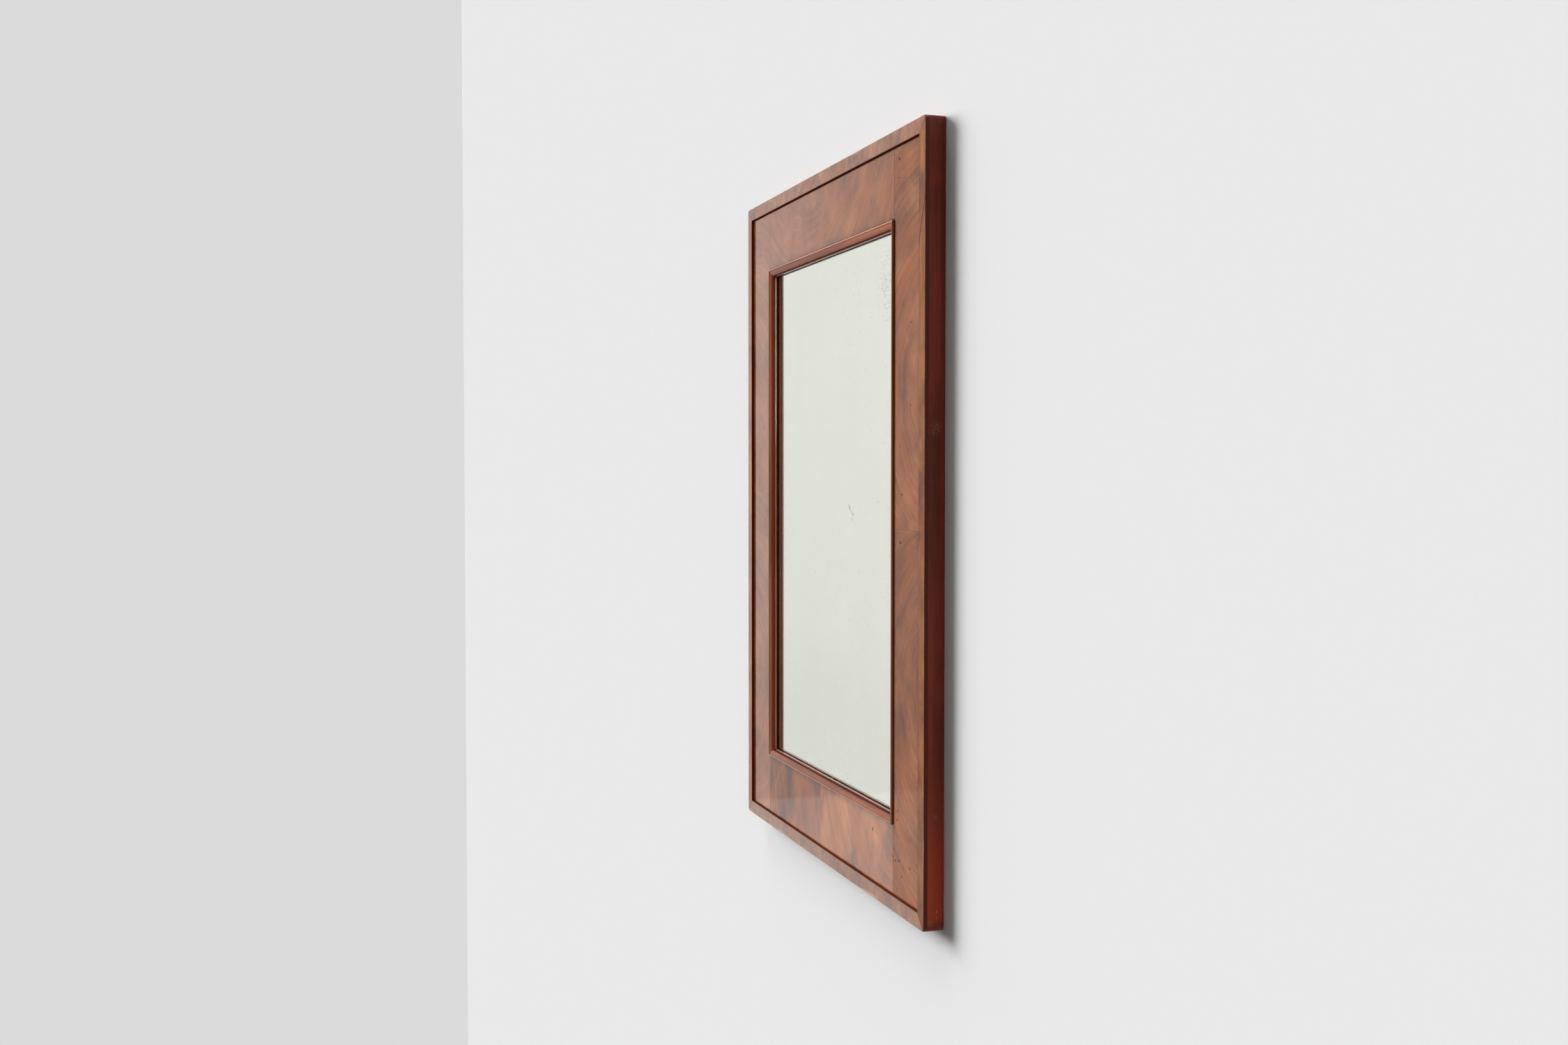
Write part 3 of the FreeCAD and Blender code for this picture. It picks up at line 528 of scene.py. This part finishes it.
def border(name, upright):
    """The raised border. The grain runs along the stiles' strips and across the rails' strips."""
    shine, contrast, tone, step_colour = BORDER_LOOKS[name]
    material, tree, shader = new_material("border_" + name, Specular_IOR_Level=0.0, Coat_Weight=shine,
                                          Coat_Roughness=0.06, Coat_IOR=1.5)
    place = object_place(tree)
    x, _, z = split(tree, place)
    if upright:
        across = calc(tree, "ADD", calc(tree, "MULTIPLY", x, 1.6), calc(tree, "MULTIPLY", z, 0.03))
        along = calc(tree, "MULTIPLY", z, 0.7)
    else:
        across = calc(tree, "ADD", calc(tree, "MULTIPLY", x, 1.1), calc(tree, "MULTIPLY", z, 0.5))
        along = z
    figure = use_effect(tree, flame_figure, Vector=place if upright else scaled(tree, place, 2.2, 1, 2.2),
                        Across=across, Along=along, Leaf=2.3 * len(name) + (9.0 if upright else 0.0),
                        Pale=BORDER_PALE, Warm=BORDER_WARM, Shade=BORDER_SHADE, Contrast=contrast)
    colour = dimmed(tree, figure["Color"], tone)
    # the outer edge is stained like the sides; its arris is worn paler in places
    to_outline = within(tree, x, z, HALF_WIDTH, HALF_HEIGHT)
    stained = step_up(tree, to_outline, 0.0001, EDGE_START, 1.0, 0.0)
    run = scaled(tree, place, 90, 90, 9) if upright else scaled(tree, place, 9, 90, 90)
    worn = calc(tree, "MULTIPLY", step_up(tree, to_outline, 0.0012, 0.0060, 1.0, 0.0),
                step_up(tree, noise(tree, run, detail=4.0, rough=0.6), 0.56, 0.64))
    colour = blended(tree, calc(tree, "MULTIPLY", worn, 0.65), colour, BORDER_WORN)
    colour = blended(tree, stained, colour, BORDER_STAIN)
    # mitre lines that are more open lower down, dirt by the step, and the step's face in its colour with painted
    # light and shade
    mitre = calc(tree, "SUBTRACT", calc(tree, "SUBTRACT", HALF_WIDTH, calc(tree, "ABSOLUTE", x)),
                 calc(tree, "SUBTRACT", HALF_HEIGHT, calc(tree, "ABSOLUTE", z)))
    opened = step_up(tree, z, -0.2, 0.2, 0.95, 0.35)
    colour = blended(tree, calc(tree, "MULTIPLY", dark_line(tree, mitre, 0.0005), opened), colour, DIRT_AND_SHADE)
    from_step = calc(tree, "MULTIPLY", within(tree, x, z, BORDER_X, BORDER_Z), -1.0)
    dirt_and_shade = step_up(tree, from_step, 0.0001, 0.0005, 1.0, 0.0)
    colour = blended(tree, step_up(tree, from_step, 0.0003, 0.0018, 0.45, 0.0), colour, DIRT_AND_SHADE)
    colour = blended(tree, calc(tree, "MULTIPLY", dirt_and_shade, 0.9), colour, step_colour)
    line = calc(tree, "MULTIPLY", dark_line(tree, mitre, 0.0003), opened)
    if name == "right":
        for first, second in zip(CRACK, CRACK[1:]):
            distance = segment_distance(tree, x, z, first, second)
            line = calc(tree, "MAXIMUM", line, dark_line(tree, distance, 0.0006))
        line = calc(tree, "MULTIPLY", line, calc(tree, "SUBTRACT", 1.0, stained))
        colour = blended(tree, calc(tree, "MULTIPLY", line, 0.9), colour, DIRT_AND_SHADE)
    polished_coat(tree, shader, calc(tree, "MAXIMUM", calc(tree, "MAXIMUM", dirt_and_shade, stained), line), shine)
    rubbed(tree, shader, place, colour, calc(tree, "SUBTRACT", figure["Height"], line), 0.32, 0.45)
    return material


for side, upright in SIDES:
    dress(border(side, upright), "band_" + side)

EDGE_RED = rgb(120, 48, 33)
EDGE_DARK = rgb(90, 37, 26)
EDGE_CLOUD = rgb(128, 48, 28)
EDGE_FLOOR_LIT = rgb(166, 62, 32)
EDGE_BACK_DARK = rgb(26, 12, 10)
EDGE_BARE = rgb(134, 84, 52)
RUBBED_PALE = rgb(150, 116, 86)
SCRATCH_PALE = rgb(240, 220, 206)


def stained_edge(name, upright):
    """The dark red stained veneer on the frame's edges, rubbed and chipped."""
    material, tree, shader = new_material("edge_" + name, Specular_IOR_Level=0.15, Coat_Weight=0.12,
                                          Coat_Roughness=0.3)
    place = object_place(tree)
    x, y, z = split(tree, place)
    grain_place = place if upright else joined(tree, z, y, x)
    grain = use_effect(tree, straight_grain, Vector=grain_place, Pale=EDGE_RED, Dark=EDGE_DARK, Coarseness=1.6)
    clouds = noise(tree, scaled(tree, place, 55, 55, 18), detail=4.0, rough=0.6)
    colour = blended(tree, step_up(tree, clouds, 0.5, 0.78, 0.0, 0.55), grain["Color"], EDGE_CLOUD)
    if name == "right":
        # painted light from the floor below makes the lower end redder and lighter, but its last stretch is dark
        colour = blended(tree, step_up(tree, z, -0.42, -0.24, 0.7, 0.0), colour, EDGE_FLOOR_LIT)
        last = step_up(tree, calc(tree, "ADD", z, calc(tree, "MULTIPLY", clouds, 0.01)), -0.442, -0.428, 0.85, 0.0)
        colour = blended(tree, last, colour, EDGE_DARK)
    from_wall = calc(tree, "ABSOLUTE", y)
    # darker towards the back edge by the wall
    colour = blended(tree, step_up(tree, from_wall, 0.0, 0.0016, 0.6, 0.0), colour, EDGE_BACK_DARK)
    rub = noise(tree, scaled(tree, place, 300, 300, 120), detail=4.0, rough=0.75)
    arris = calc(tree, "MULTIPLY", step_up(tree, from_wall, 0.0003, 0.0009, 1.0, 0.0),
                 step_up(tree, rub, 0.52, 0.62))
    chips = use_effect(tree, flecks, Vector=scaled(tree, place, 1, 1, 0.7), Scale=110.0, Size=0.10, Amount=0.05)
    bare = calc(tree, "MAXIMUM", arris, calc(tree, "MULTIPLY", chips["Mask"], 0.7))
    colour = blended(tree, bare, colour, EDGE_BARE)
    if name == "right":
        # rubbed places and a short broken white scratch
        rough = noise(tree, place, scale=700.0, detail=4.0, rough=0.75)
        for mid_y, mid_z, span_y, span_z in RUBBED_PLACES:
            off = vector_calc(tree, "DIVIDE", vector_calc(tree, "SUBTRACT", place, (HALF_WIDTH, mid_y, mid_z)),
                              (1.0, span_y, span_z))
            patch = calc(tree, "MULTIPLY", step_up(tree, length(tree, off), 0.3, 1.0, 1.0, 0.0),
                         step_up(tree, rough, 0.54, 0.6))
            colour = blended(tree, patch, colour, RUBBED_PALE)
        scratch = calc(tree, "MULTIPLY", dark_line(tree, calc(tree, "SUBTRACT", y, SCRATCH_Y), 0.0003),
                       dark_line(tree, calc(tree, "SUBTRACT", z, SCRATCH_Z), 0.0042))
        scratch = calc(tree, "MULTIPLY", scratch, step_up(tree, rub, 0.38, 0.52))
        colour = blended(tree, scratch, colour, SCRATCH_PALE)
    tree.links.new(colour, shader.inputs["Base Color"])
    tree.links.new(step_up(tree, clouds, 0.3, 0.7, 0.42, 0.6), shader.inputs["Roughness"])
    set_bump(tree, shader, grain["Height"], 0.15, 0.0002)
    return material


for side, upright in SIDES:
    dress(stained_edge(side, upright), "facing_" + side)

MOULDING_PALE = rgb(176, 92, 46)
MOULDING_DARK = rgb(134, 60, 30)
CREST_PALE = rgb(236, 200, 172)
SLIP_PALE = rgb(244, 224, 198)
# For each side: the weight of the polish, the strength of the crest's painted highlight, how pale the slip's face is
# painted (its own pale colour with painted light, most on the top, where it lies in shade), how light the wood is
# painted (lighter on the top in shade, darker on the bottom under the light from above), and the colours of the
# hollow and of the slip's edge, which hold painted shade and are lighter where more light falls (the left hollow, the
# top edge).
MOULDING_LOOKS = {
    "right": (0.75, 0.15, 0.3, 1.0, rgb(112, 54, 38), rgb(66, 36, 26)),
    "left": (0.45, 0.15, 0.3, 1.0, rgb(150, 64, 26), rgb(66, 36, 26)),
    "top": (0.60, 0.30, 1.0, 1.15, rgb(150, 80, 60), rgb(104, 72, 58)),
    "bottom": (0.75, 0.75, 0.72, 0.70, rgb(84, 52, 42), rgb(66, 36, 26)),
}


def moulding_wood(name, upright):
    """Polished straight-grained mahogany. The hollow above the slip is painted dark with dirt and shade, and dull,
    and the slip's edge is blackened beside the plate, as makers do so that it doesn't show in the mirror, and painted
    with the shade of the gap by the glass."""
    shine, crest_highlight, slip_pale_and_light, tone, hollow_colour, edge_colour = MOULDING_LOOKS[name]
    material, tree, shader = new_material("moulding_" + name, Specular_IOR_Level=0.0, Coat_Weight=shine,
                                          Coat_Roughness=0.05, Coat_IOR=1.5)
    place = object_place(tree)
    x, y, z = split(tree, place)
    grain_place = place if upright else joined(tree, z, y, x)
    grain = use_effect(tree, straight_grain, Vector=grain_place, Pale=MOULDING_PALE, Dark=MOULDING_DARK,
                       Coarseness=1.3)
    inward = within(tree, x, z, SIGHT_X, SIGHT_Z)
    sunk = calc(tree, "SUBTRACT", y, FIELD_Y)
    # the hollow above the slip: dirt and painted shade
    hollow = calc(tree, "MULTIPLY", step_up(tree, inward, *HOLLOW_INWARD),
                  step_up(tree, sunk, *HOLLOW_SUNK, 1.0, 0.0))
    # dirt and painted shade at the bead's foot by the field
    foot = calc(tree, "MULTIPLY", step_up(tree, inward, 0.0, 0.0004, 1.0, 0.0), step_up(tree, sunk, -0.0007, -0.0001))
    # the slip's edge by the plate: black paint, and painted shade of the gap by the glass
    blackened_and_shaded = step_up(tree, sunk, *SLIP_EDGE_SUNK)
    # dirt and painted shade in the crease where the bead meets the slope
    beside_bead = dark_line(tree, calc(tree, "SUBTRACT", inward, BEAD_INWARD), 0.0003)
    colour = blended(tree, calc(tree, "MULTIPLY", beside_bead, 0.25), grain["Color"], DIRT_AND_SHADE)
    # the bead's crest gets a painted highlight, the slip's face is painted pale, partly its own colour and partly
    # painted light, and the slope is painted darker towards its hollow as shade on a rounder section
    crest = between(tree, inward, *CREST_INWARD)
    colour = blended(tree, calc(tree, "MULTIPLY", crest, crest_highlight), colour, CREST_PALE)
    colour = dimmed(tree, colour, step_up(tree, inward, *SLOPE_INWARD, 1.0, 0.78))
    slip = calc(tree, "MULTIPLY", step_up(tree, inward, *SLIP_INWARD), between(tree, sunk, *SLIP_SUNK))
    colour = blended(tree, calc(tree, "MULTIPLY", slip, slip_pale_and_light), colour, SLIP_PALE)
    colour = blended(tree, calc(tree, "MULTIPLY", hollow, 0.9), colour, hollow_colour)
    colour = blended(tree, calc(tree, "MULTIPLY", foot, 0.8), colour, DIRT_AND_SHADE)
    colour = blended(tree, blackened_and_shaded, colour, edge_colour)
    # how light the wood is painted: lighter on the top, which lies in shade, darker on the bottom, under the light
    # from above
    colour = dimmed(tree, colour, tone)
    dull = calc(tree, "MAXIMUM", calc(tree, "MAXIMUM", hollow, foot), blackened_and_shaded)
    # the crest's painted highlight and the slip's face get the most polish
    polished_coat(tree, shader, dull, calc(tree, "MAXIMUM", shine, calc(tree, "MAXIMUM", slip, crest)))
    rubbed(tree, shader, place, colour, grain["Height"], 0.22, 0.34, bump=0.08)
    return material


for side, upright in SIDES:
    dress(moulding_wood(side, upright), "moulding_" + side)


SILVER_CLEAR = rgb(250, 249, 244)
SILVER_HAZE = rgb(247, 246, 238)
SILVER_LOST = rgb(88, 84, 74)
# Specks in the silvering: scale, size and amount of three sorts of flecks.
SPECKS = ((120.0, 0.10, 0.08), (210.0, 0.14, 0.09), (60.0, 0.045, 0.16))


def old_silver():
    """The silvering behind the plate, with foxing that is thickest by the upper right edge."""
    material, tree, shader = new_material("old_silver", Metallic=1.0, Roughness=0.012)
    place = object_place(tree)
    x, _, z = split(tree, place)
    haze = noise(tree, place, scale=7.0, detail=3.0)
    colour = blended(tree, step_up(tree, haze, 0.35, 0.7), SILVER_CLEAR, SILVER_HAZE)
    specks = 0.0
    for scale, size, amount in SPECKS:
        mask = use_effect(tree, flecks, Vector=place, Scale=scale, Size=size, Amount=amount)["Mask"]
        specks = calc(tree, "MAXIMUM", specks, mask)
    off = vector_calc(tree, "DIVIDE", vector_calc(tree, "SUBTRACT", place, FOXING_PLACE), FOXING_SPAN)
    crowd = step_up(tree, length(tree, off), 0.2, 1.0, 1.0, 0.0)
    bloom = noise(tree, place, scale=520.0, detail=3.0, rough=0.7)
    fox = step_up(tree, calc(tree, "ADD", bloom, calc(tree, "MULTIPLY", crowd, 0.09)), 0.67, 0.715)
    fox = calc(tree, "MULTIPLY", fox, step_up(tree, crowd, 0.0, 0.3))
    ragged = calc(tree, "MULTIPLY", calc(tree, "SUBTRACT", noise(tree, place, scale=900.0, detail=3.0), 0.5), 0.0042)
    struck = 0.0
    for first, second, half_width in MARK:
        away = calc(tree, "ADD", segment_distance(tree, x, z, first, second), ragged)
        struck = calc(tree, "MAXIMUM", struck, dark_line(tree, away, half_width))
    loss = calc(tree, "MAXIMUM", calc(tree, "MAXIMUM", calc(tree, "MULTIPLY", specks, 0.95), fox), struck)
    colour = blended(tree, loss, colour, SILVER_LOST)
    tree.links.new(colour, shader.inputs["Base Color"])
    tree.links.new(step_up(tree, loss, 0.0, 1.0, 0.012, 0.5), shader.inputs["Roughness"])
    return material


def clear_glass():
    """Old plate glass, faintly green."""
    material, tree, shader = new_material("plate_glass", Transmission_Weight=1.0, Roughness=0.0, IOR=1.5)
    place = object_place(tree)
    cast = noise(tree, place, scale=3.0, detail=1.0)
    colour = blended(tree, cast, rgb(251, 253, 249), rgb(252, 253, 249))
    tree.links.new(colour, shader.inputs["Base Color"])
    return material


def plate_surface():
    """The old plate. Its face is a grid whose height is the plate's face plus two slow crossed sines, 0.01 mm
    deep, as in hand-polished glass; rim and back close it, and the back stops just short of the silvering."""
    low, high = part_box("mirror_glass")
    columns, rows = 49, 73
    still, depth = 0.02, 0.00001      # width of the rim where the waves fade out, and their depth
    across, up = np.meshgrid(np.linspace(low.x, high.x, columns), np.linspace(low.z, high.z, rows))
    fade = np.minimum(1.0, np.minimum(np.minimum(across - low.x, high.x - across),
                                      np.minimum(up - low.z, high.z - up)) / still)
    waves = depth * fade * (np.sin(across * 61 + up * 9) + np.sin(up * 47 - across * 13))
    face = np.stack([across, low.y + waves, up], -1).reshape(-1, 3)
    back = face.copy()
    back[:, 1] = high.y - PLATE_GAP
    count = columns * rows
    index = np.arange(count).reshape(rows, columns)
    quads = np.stack([index[:-1, :-1], index[:-1, 1:], index[1:, 1:], index[1:, :-1]], -1).reshape(-1, 4)
    ring = np.concatenate([index[0], index[1:, -1], index[-1, -2::-1], index[-2:0:-1, 0]])
    after = np.roll(ring, -1)
    rim = np.stack([ring, ring + count, after + count, after], -1)
    mesh = bpy.data.meshes.new("mirror_plate")
    mesh.from_pydata(np.concatenate([face, back]), [], np.concatenate([quads, quads[:, ::-1] + count, rim]))
    mesh.materials.append(clear_glass())
    piece = bpy.data.objects.new("mirror_plate", mesh)
    bpy.context.scene.collection.objects.link(piece)
    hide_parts("mirror_glass")
    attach(piece, "mirror")


dress(old_silver(), "silvering")
plate_surface()


PINE_PALE = rgb(176, 142, 100)
PINE_DARK = rgb(144, 108, 70)
DEAL_PALE = rgb(184, 156, 116)
DEAL_DARK = rgb(154, 124, 86)
PEG_PALE = rgb(150, 116, 74)
PEG_DARK = rgb(112, 82, 50)
DUST = rgb(86, 72, 56)


def bare_wood(name, pale, dark, upright=True, rings=2.6, centre=0.0, lean=0.02, dust=0.5):
    """Bare old softwood. Growth rings are circles round a line beside the board that leans through it, so
    that the face shows arches; rings is their spacing in millimetres and centre the place of that line."""
    material, tree, shader = new_material("bare_" + name, Specular_IOR_Level=0.2)
    place = object_place(tree)
    x, y, z = split(tree, place)
    if not upright:
        x, z = z, x
        place = joined(tree, x, y, z)
    sway = calc(tree, "SUBTRACT", noise(tree, scaled(tree, place, 12, 12, 3), detail=2.0), 0.5)
    deep = calc(tree, "ADD", calc(tree, "ADD", calc(tree, "MULTIPLY", z, lean), y),
                calc(tree, "MULTIPLY", sway, 0.035))
    wide = calc(tree, "SUBTRACT", x, centre)
    turns = calc(tree, "FRACT", calc(tree, "MULTIPLY", diagonal(tree, deep, wide), 1000.0 / rings))
    late = between(tree, turns, 0.35, 0.9, 0.93, 1.0)
    grain = use_effect(tree, straight_grain, Vector=place, Pale=pale, Dark=dark, Coarseness=2.0)
    colour = blended(tree, calc(tree, "MULTIPLY", late, 0.55), grain["Color"], dimmed(tree, grain["Color"], 0.52))
    soil = noise(tree, scaled(tree, place, 14, 14, 6), detail=7.0, rough=0.72)
    colour = blended(tree, step_up(tree, soil, 0.44, 0.78, 0.0, dust), colour, DUST)
    tree.links.new(colour, shader.inputs["Base Color"])
    tree.links.new(step_up(tree, soil, 0.3, 0.7, 0.72, 0.9), shader.inputs["Roughness"])
    set_bump(tree, shader, calc(tree, "SUBTRACT", grain["Height"], late), 0.35, 0.0004)
    return material


dress(bare_wood("core_left", DEAL_PALE, DEAL_DARK, centre=-0.33, lean=0.03, rings=1.9), "core_stile_left")
dress(bare_wood("core_right", DEAL_PALE, DEAL_DARK, centre=0.25, lean=-0.025, rings=1.8), "core_stile_right")
dress(bare_wood("core_top", DEAL_PALE, DEAL_DARK, False, centre=0.48, lean=0.03, rings=2.0), "core_rail_top")
dress(bare_wood("core_bottom", DEAL_PALE, DEAL_DARK, False, centre=-0.37, lean=0.03, rings=2.1),
      "core_rail_bottom")
dress(bare_wood("board_left", PINE_PALE, PINE_DARK, centre=-0.150, lean=0.05, rings=3.4), "backboard_left")
dress(bare_wood("board_middle", PINE_PALE, PINE_DARK, centre=0.020, lean=-0.04, rings=3.0), "backboard_middle")
dress(bare_wood("board_right", PINE_PALE, PINE_DARK, centre=0.180, lean=0.035, rings=3.8), "backboard_right")
dress(bare_wood("packing_upright", DEAL_PALE, DEAL_DARK, centre=0.3, rings=1.6, dust=0.3),
      "packing_left", "packing_right")
dress(bare_wood("packing_level", DEAL_PALE, DEAL_DARK, False, centre=0.4, rings=1.6, dust=0.3),
      "packing_top", "packing_bottom", "setting_block_left", "setting_block_right")
dress(bare_wood("peg", PEG_PALE, PEG_DARK, rings=1.1, centre=0.31, dust=0.6), "joint_pegs")


def metal(name, bright, dull, metallic, rough_low, rough_high, bump=0.2):
    """Aged metal with rubbed and tarnished places."""
    material, tree, shader = new_material(name, Metallic=metallic)
    place = object_place(tree)
    aged = use_effect(tree, tarnish, Vector=place, Bright=bright, Dull=dull)
    tree.links.new(aged["Color"], shader.inputs["Base Color"])
    tree.links.new(step_up(tree, aged["Dullness"], 0.0, 1.0, rough_low, rough_high), shader.inputs["Roughness"])
    set_bump(tree, shader, aged["Height"], bump, 0.0001)
    return material


dress(metal("aged_brass", rgb(196, 160, 92), rgb(118, 92, 54), 1.0, 0.28, 0.55),
      "hanger_plate_left", "hanger_plate_right", "hanger_ring_left", "hanger_ring_right")
dress(metal("dark_iron", rgb(92, 84, 76), rgb(74, 48, 34), 0.7, 0.45, 0.8, 0.5), "backboard_nails")
dress(metal("steel_screw", rgb(168, 164, 156), rgb(104, 98, 90), 1.0, 0.3, 0.5), "hanger_screws")

# ---------------------------------------------------------------- the studio
WALL_Y = 0.0005           # just behind the frame's back
CORNER_X = -4.24          # where the wall meets the return wall on the left
FLOOR_Z = -2.35
ROOM_RIGHT = 9
ROOM_TOP = 6
ROOM_FRONT = -12
BEHIND = 0.003            # how far the opening behind the frame lies inside its outline

# Grey levels of the return wall: to the eye; in the polish, which has a pale floor up to a line and a dim stretch
# above it; and through the plate. Each pair of heights goes with a pair of levels.
WALL_SEEN = 0.708
FLOOR_LINE, FLOOR_LEVELS = (-1.282, -1.258), (1.06, 0.0)
DIM_STRETCH, DIM_LEVELS = (-0.94, -0.45), (0.76, 0.92)
THROUGH_HEIGHTS, THROUGH_LEVELS = (-1.4, 0.9), (0.82, 0.88)
FLOOR_LIFT = 0.04         # light that the floor gives off to the eye

# Grey levels of the rest of the room.
AMBIENT = 0.055           # for the light that it sheds
AIR_SEEN = 0.76
AIR_THROUGH = 0.80
AIR_SPAN, AIR_IN_POLISH = (0.1, 0.6), (0.62, 0.12)       # from the left to the right of the room


def flat_piece(name, corners, faces):
    """A flat stage piece from its corners."""
    mesh = bpy.data.meshes.new(name)
    mesh.from_pydata(corners, [], faces)
    piece = bpy.data.objects.new(name, mesh)
    bpy.context.scene.collection.objects.link(piece)
    return piece


def one_sided(name, tree_maker):
    """A stage material that can't be seen or shade anything from behind."""
    material = bpy.data.materials.new(name)
    material.use_nodes = True
    tree = material.node_tree
    tree.nodes.clear()
    surface = tree_maker(tree)
    geometry = add_node(tree, "ShaderNodeNewGeometry")
    clear = add_node(tree, "ShaderNodeBsdfTransparent")
    both = add_node(tree, "ShaderNodeMixShader",
                    {0: geometry.outputs["Backfacing"], 1: surface, 2: clear.outputs[0]})
    output = add_node(tree, "ShaderNodeOutputMaterial")
    tree.links.new(both.outputs[0], output.inputs["Surface"])
    return material


def plaster(tree):
    """Pale matt wall."""
    return add_node(tree, "ShaderNodeBsdfDiffuse", {"Color": rgb(232, 232, 232)}).outputs[0]


def by_ray(tree, seen, glossy, through):
    """Three grey levels: to the camera, in polish and metal, and through the plate."""
    path = add_node(tree, "ShaderNodeLightPath")
    level = calc(tree, "MULTIPLY", path.outputs["Is Camera Ray"], seen)
    other = calc(tree, "SUBTRACT", 1.0, path.outputs["Is Camera Ray"])
    clear = calc(tree, "MULTIPLY", path.outputs["Is Transmission Ray"], other)
    level = calc(tree, "ADD", level, calc(tree, "MULTIPLY", clear, through))
    shiny = calc(tree, "MULTIPLY", path.outputs["Is Glossy Ray"],
                 calc(tree, "MULTIPLY", other, calc(tree, "SUBTRACT", 1.0, path.outputs["Is Transmission Ray"])))
    return calc(tree, "ADD", level, calc(tree, "MULTIPLY", shiny, glossy))


def return_wall(tree):
    """Plain grey for the eye, with the floor and the dim stretch in the polish."""
    height = split(tree, object_place(tree))[2]
    glossy = calc(tree, "MAXIMUM", step_up(tree, height, *FLOOR_LINE, *FLOOR_LEVELS),
                  step_up(tree, height, *DIM_STRETCH, *DIM_LEVELS))
    level = by_ray(tree, WALL_SEEN, glossy, step_up(tree, height, *THROUGH_HEIGHTS, *THROUGH_LEVELS))
    grey = joined(tree, level, level, level)
    return add_node(tree, "ShaderNodeEmission", {"Color": grey, "Strength": 1.0}).outputs[0]


def pale_floor(tree):
    """Matt floor, lifted for the eye so that it stays pale."""
    path = add_node(tree, "ShaderNodeLightPath")
    matt = add_node(tree, "ShaderNodeBsdfDiffuse", {"Color": rgb(196, 196, 196)})
    lift = add_node(tree, "ShaderNodeEmission", {
        "Color": (1, 1, 1, 1), "Strength": calc(tree, "MULTIPLY", path.outputs["Is Camera Ray"], FLOOR_LIFT)})
    return add_node(tree, "ShaderNodeAddShader", {0: matt.outputs[0], 1: lift.outputs[0]}).outputs[0]


wide, high = HALF_WIDTH - BEHIND, HALF_HEIGHT - BEHIND
wall = flat_piece("studio_wall",
                  [(CORNER_X, WALL_Y, FLOOR_Z), (ROOM_RIGHT, WALL_Y, FLOOR_Z),
                   (ROOM_RIGHT, WALL_Y, ROOM_TOP), (CORNER_X, WALL_Y, ROOM_TOP),
                   (-wide, WALL_Y, -high), (wide, WALL_Y, -high), (wide, WALL_Y, high), (-wide, WALL_Y, high)],
                  [(0, 1, 5, 4), (1, 2, 6, 5), (2, 3, 7, 6), (3, 0, 4, 7)])
wall.data.materials.append(one_sided("wall_paint", plaster))
side_wall = flat_piece("studio_side_wall",
                       [(CORNER_X, ROOM_FRONT, FLOOR_Z), (CORNER_X, WALL_Y, FLOOR_Z),
                        (CORNER_X, WALL_Y, ROOM_TOP), (CORNER_X, ROOM_FRONT, ROOM_TOP)],
                       [(0, 1, 2, 3)])
side_wall.data.materials.append(one_sided("side_wall_paint", return_wall))
side_wall.visible_diffuse = False
side_wall.visible_shadow = False
floor = flat_piece("studio_floor",
                   [(CORNER_X, ROOM_FRONT, FLOOR_Z), (ROOM_RIGHT, ROOM_FRONT, FLOOR_Z),
                    (ROOM_RIGHT, WALL_Y, FLOOR_Z), (CORNER_X, WALL_Y, FLOOR_Z)],
                   [(0, 1, 2, 3)])
floor.data.materials.append(one_sided("floor_paint", pale_floor))
floor.visible_diffuse = False


def soft_sun(name, towards, strength, spread):
    """A far soft light that shines in the direction given; spread is its width in degrees."""
    data = bpy.data.lights.new(name, "SUN")
    data.energy = strength
    data.angle = math.radians(spread)
    lamp = bpy.data.objects.new(name, data)
    lamp.rotation_euler = Vector(towards).to_track_quat("-Z", "Y").to_euler()
    lamp.visible_glossy = False
    bpy.context.scene.collection.objects.link(lamp)


soft_sun("light_left", (0.811, 0.520, -0.275), 3.50, 30)
soft_sun("light_far_left", (0.900, 0.351, -0.255), 2.1, 36)
soft_sun("light_above", (0.230, 0.150, -0.960), 1.8, 44)
soft_sun("light_right", (-0.960, 0.180, -0.190), 0.78, 24)
soft_sun("light_behind", (0.25, -0.85, -0.46), 3.0, 40)

world = bpy.data.worlds.new("studio")
world.use_nodes = True
bpy.context.scene.world = world
air = world.node_tree
# the right of the room is dim, as the polish of the faces turned that way shows
to_right = split(air, add_node(air, "ShaderNodeTexCoord").outputs["Generated"])[0]
in_polish = step_up(air, to_right, *AIR_SPAN, *[level - AMBIENT for level in AIR_IN_POLISH])
seen = by_ray(air, AIR_SEEN - AMBIENT, in_polish, AIR_THROUGH - AMBIENT)
air.links.new(joined(air, *[calc(air, "ADD", seen, AMBIENT)] * 3), air.nodes["Background"].inputs["Color"])

# ---------------------------------------------------------------- the camera, as the photograph was taken
camera_data = bpy.data.cameras.new("camera")
camera_data.lens = 36.7296
camera_data.sensor_width = 36.0
camera_data.clip_start = 0.05
camera_data.clip_end = 60.0
camera = bpy.data.objects.new("camera", camera_data)
camera.location = (1.96327, -0.70703, 0.05875)
camera.rotation_euler = Euler((math.radians(90 - 1.7723), 0.0, math.radians(72.2042)))
bpy.context.scene.collection.objects.link(camera)
bpy.context.scene.camera = camera
bpy.context.scene.view_settings.view_transform = "Standard"
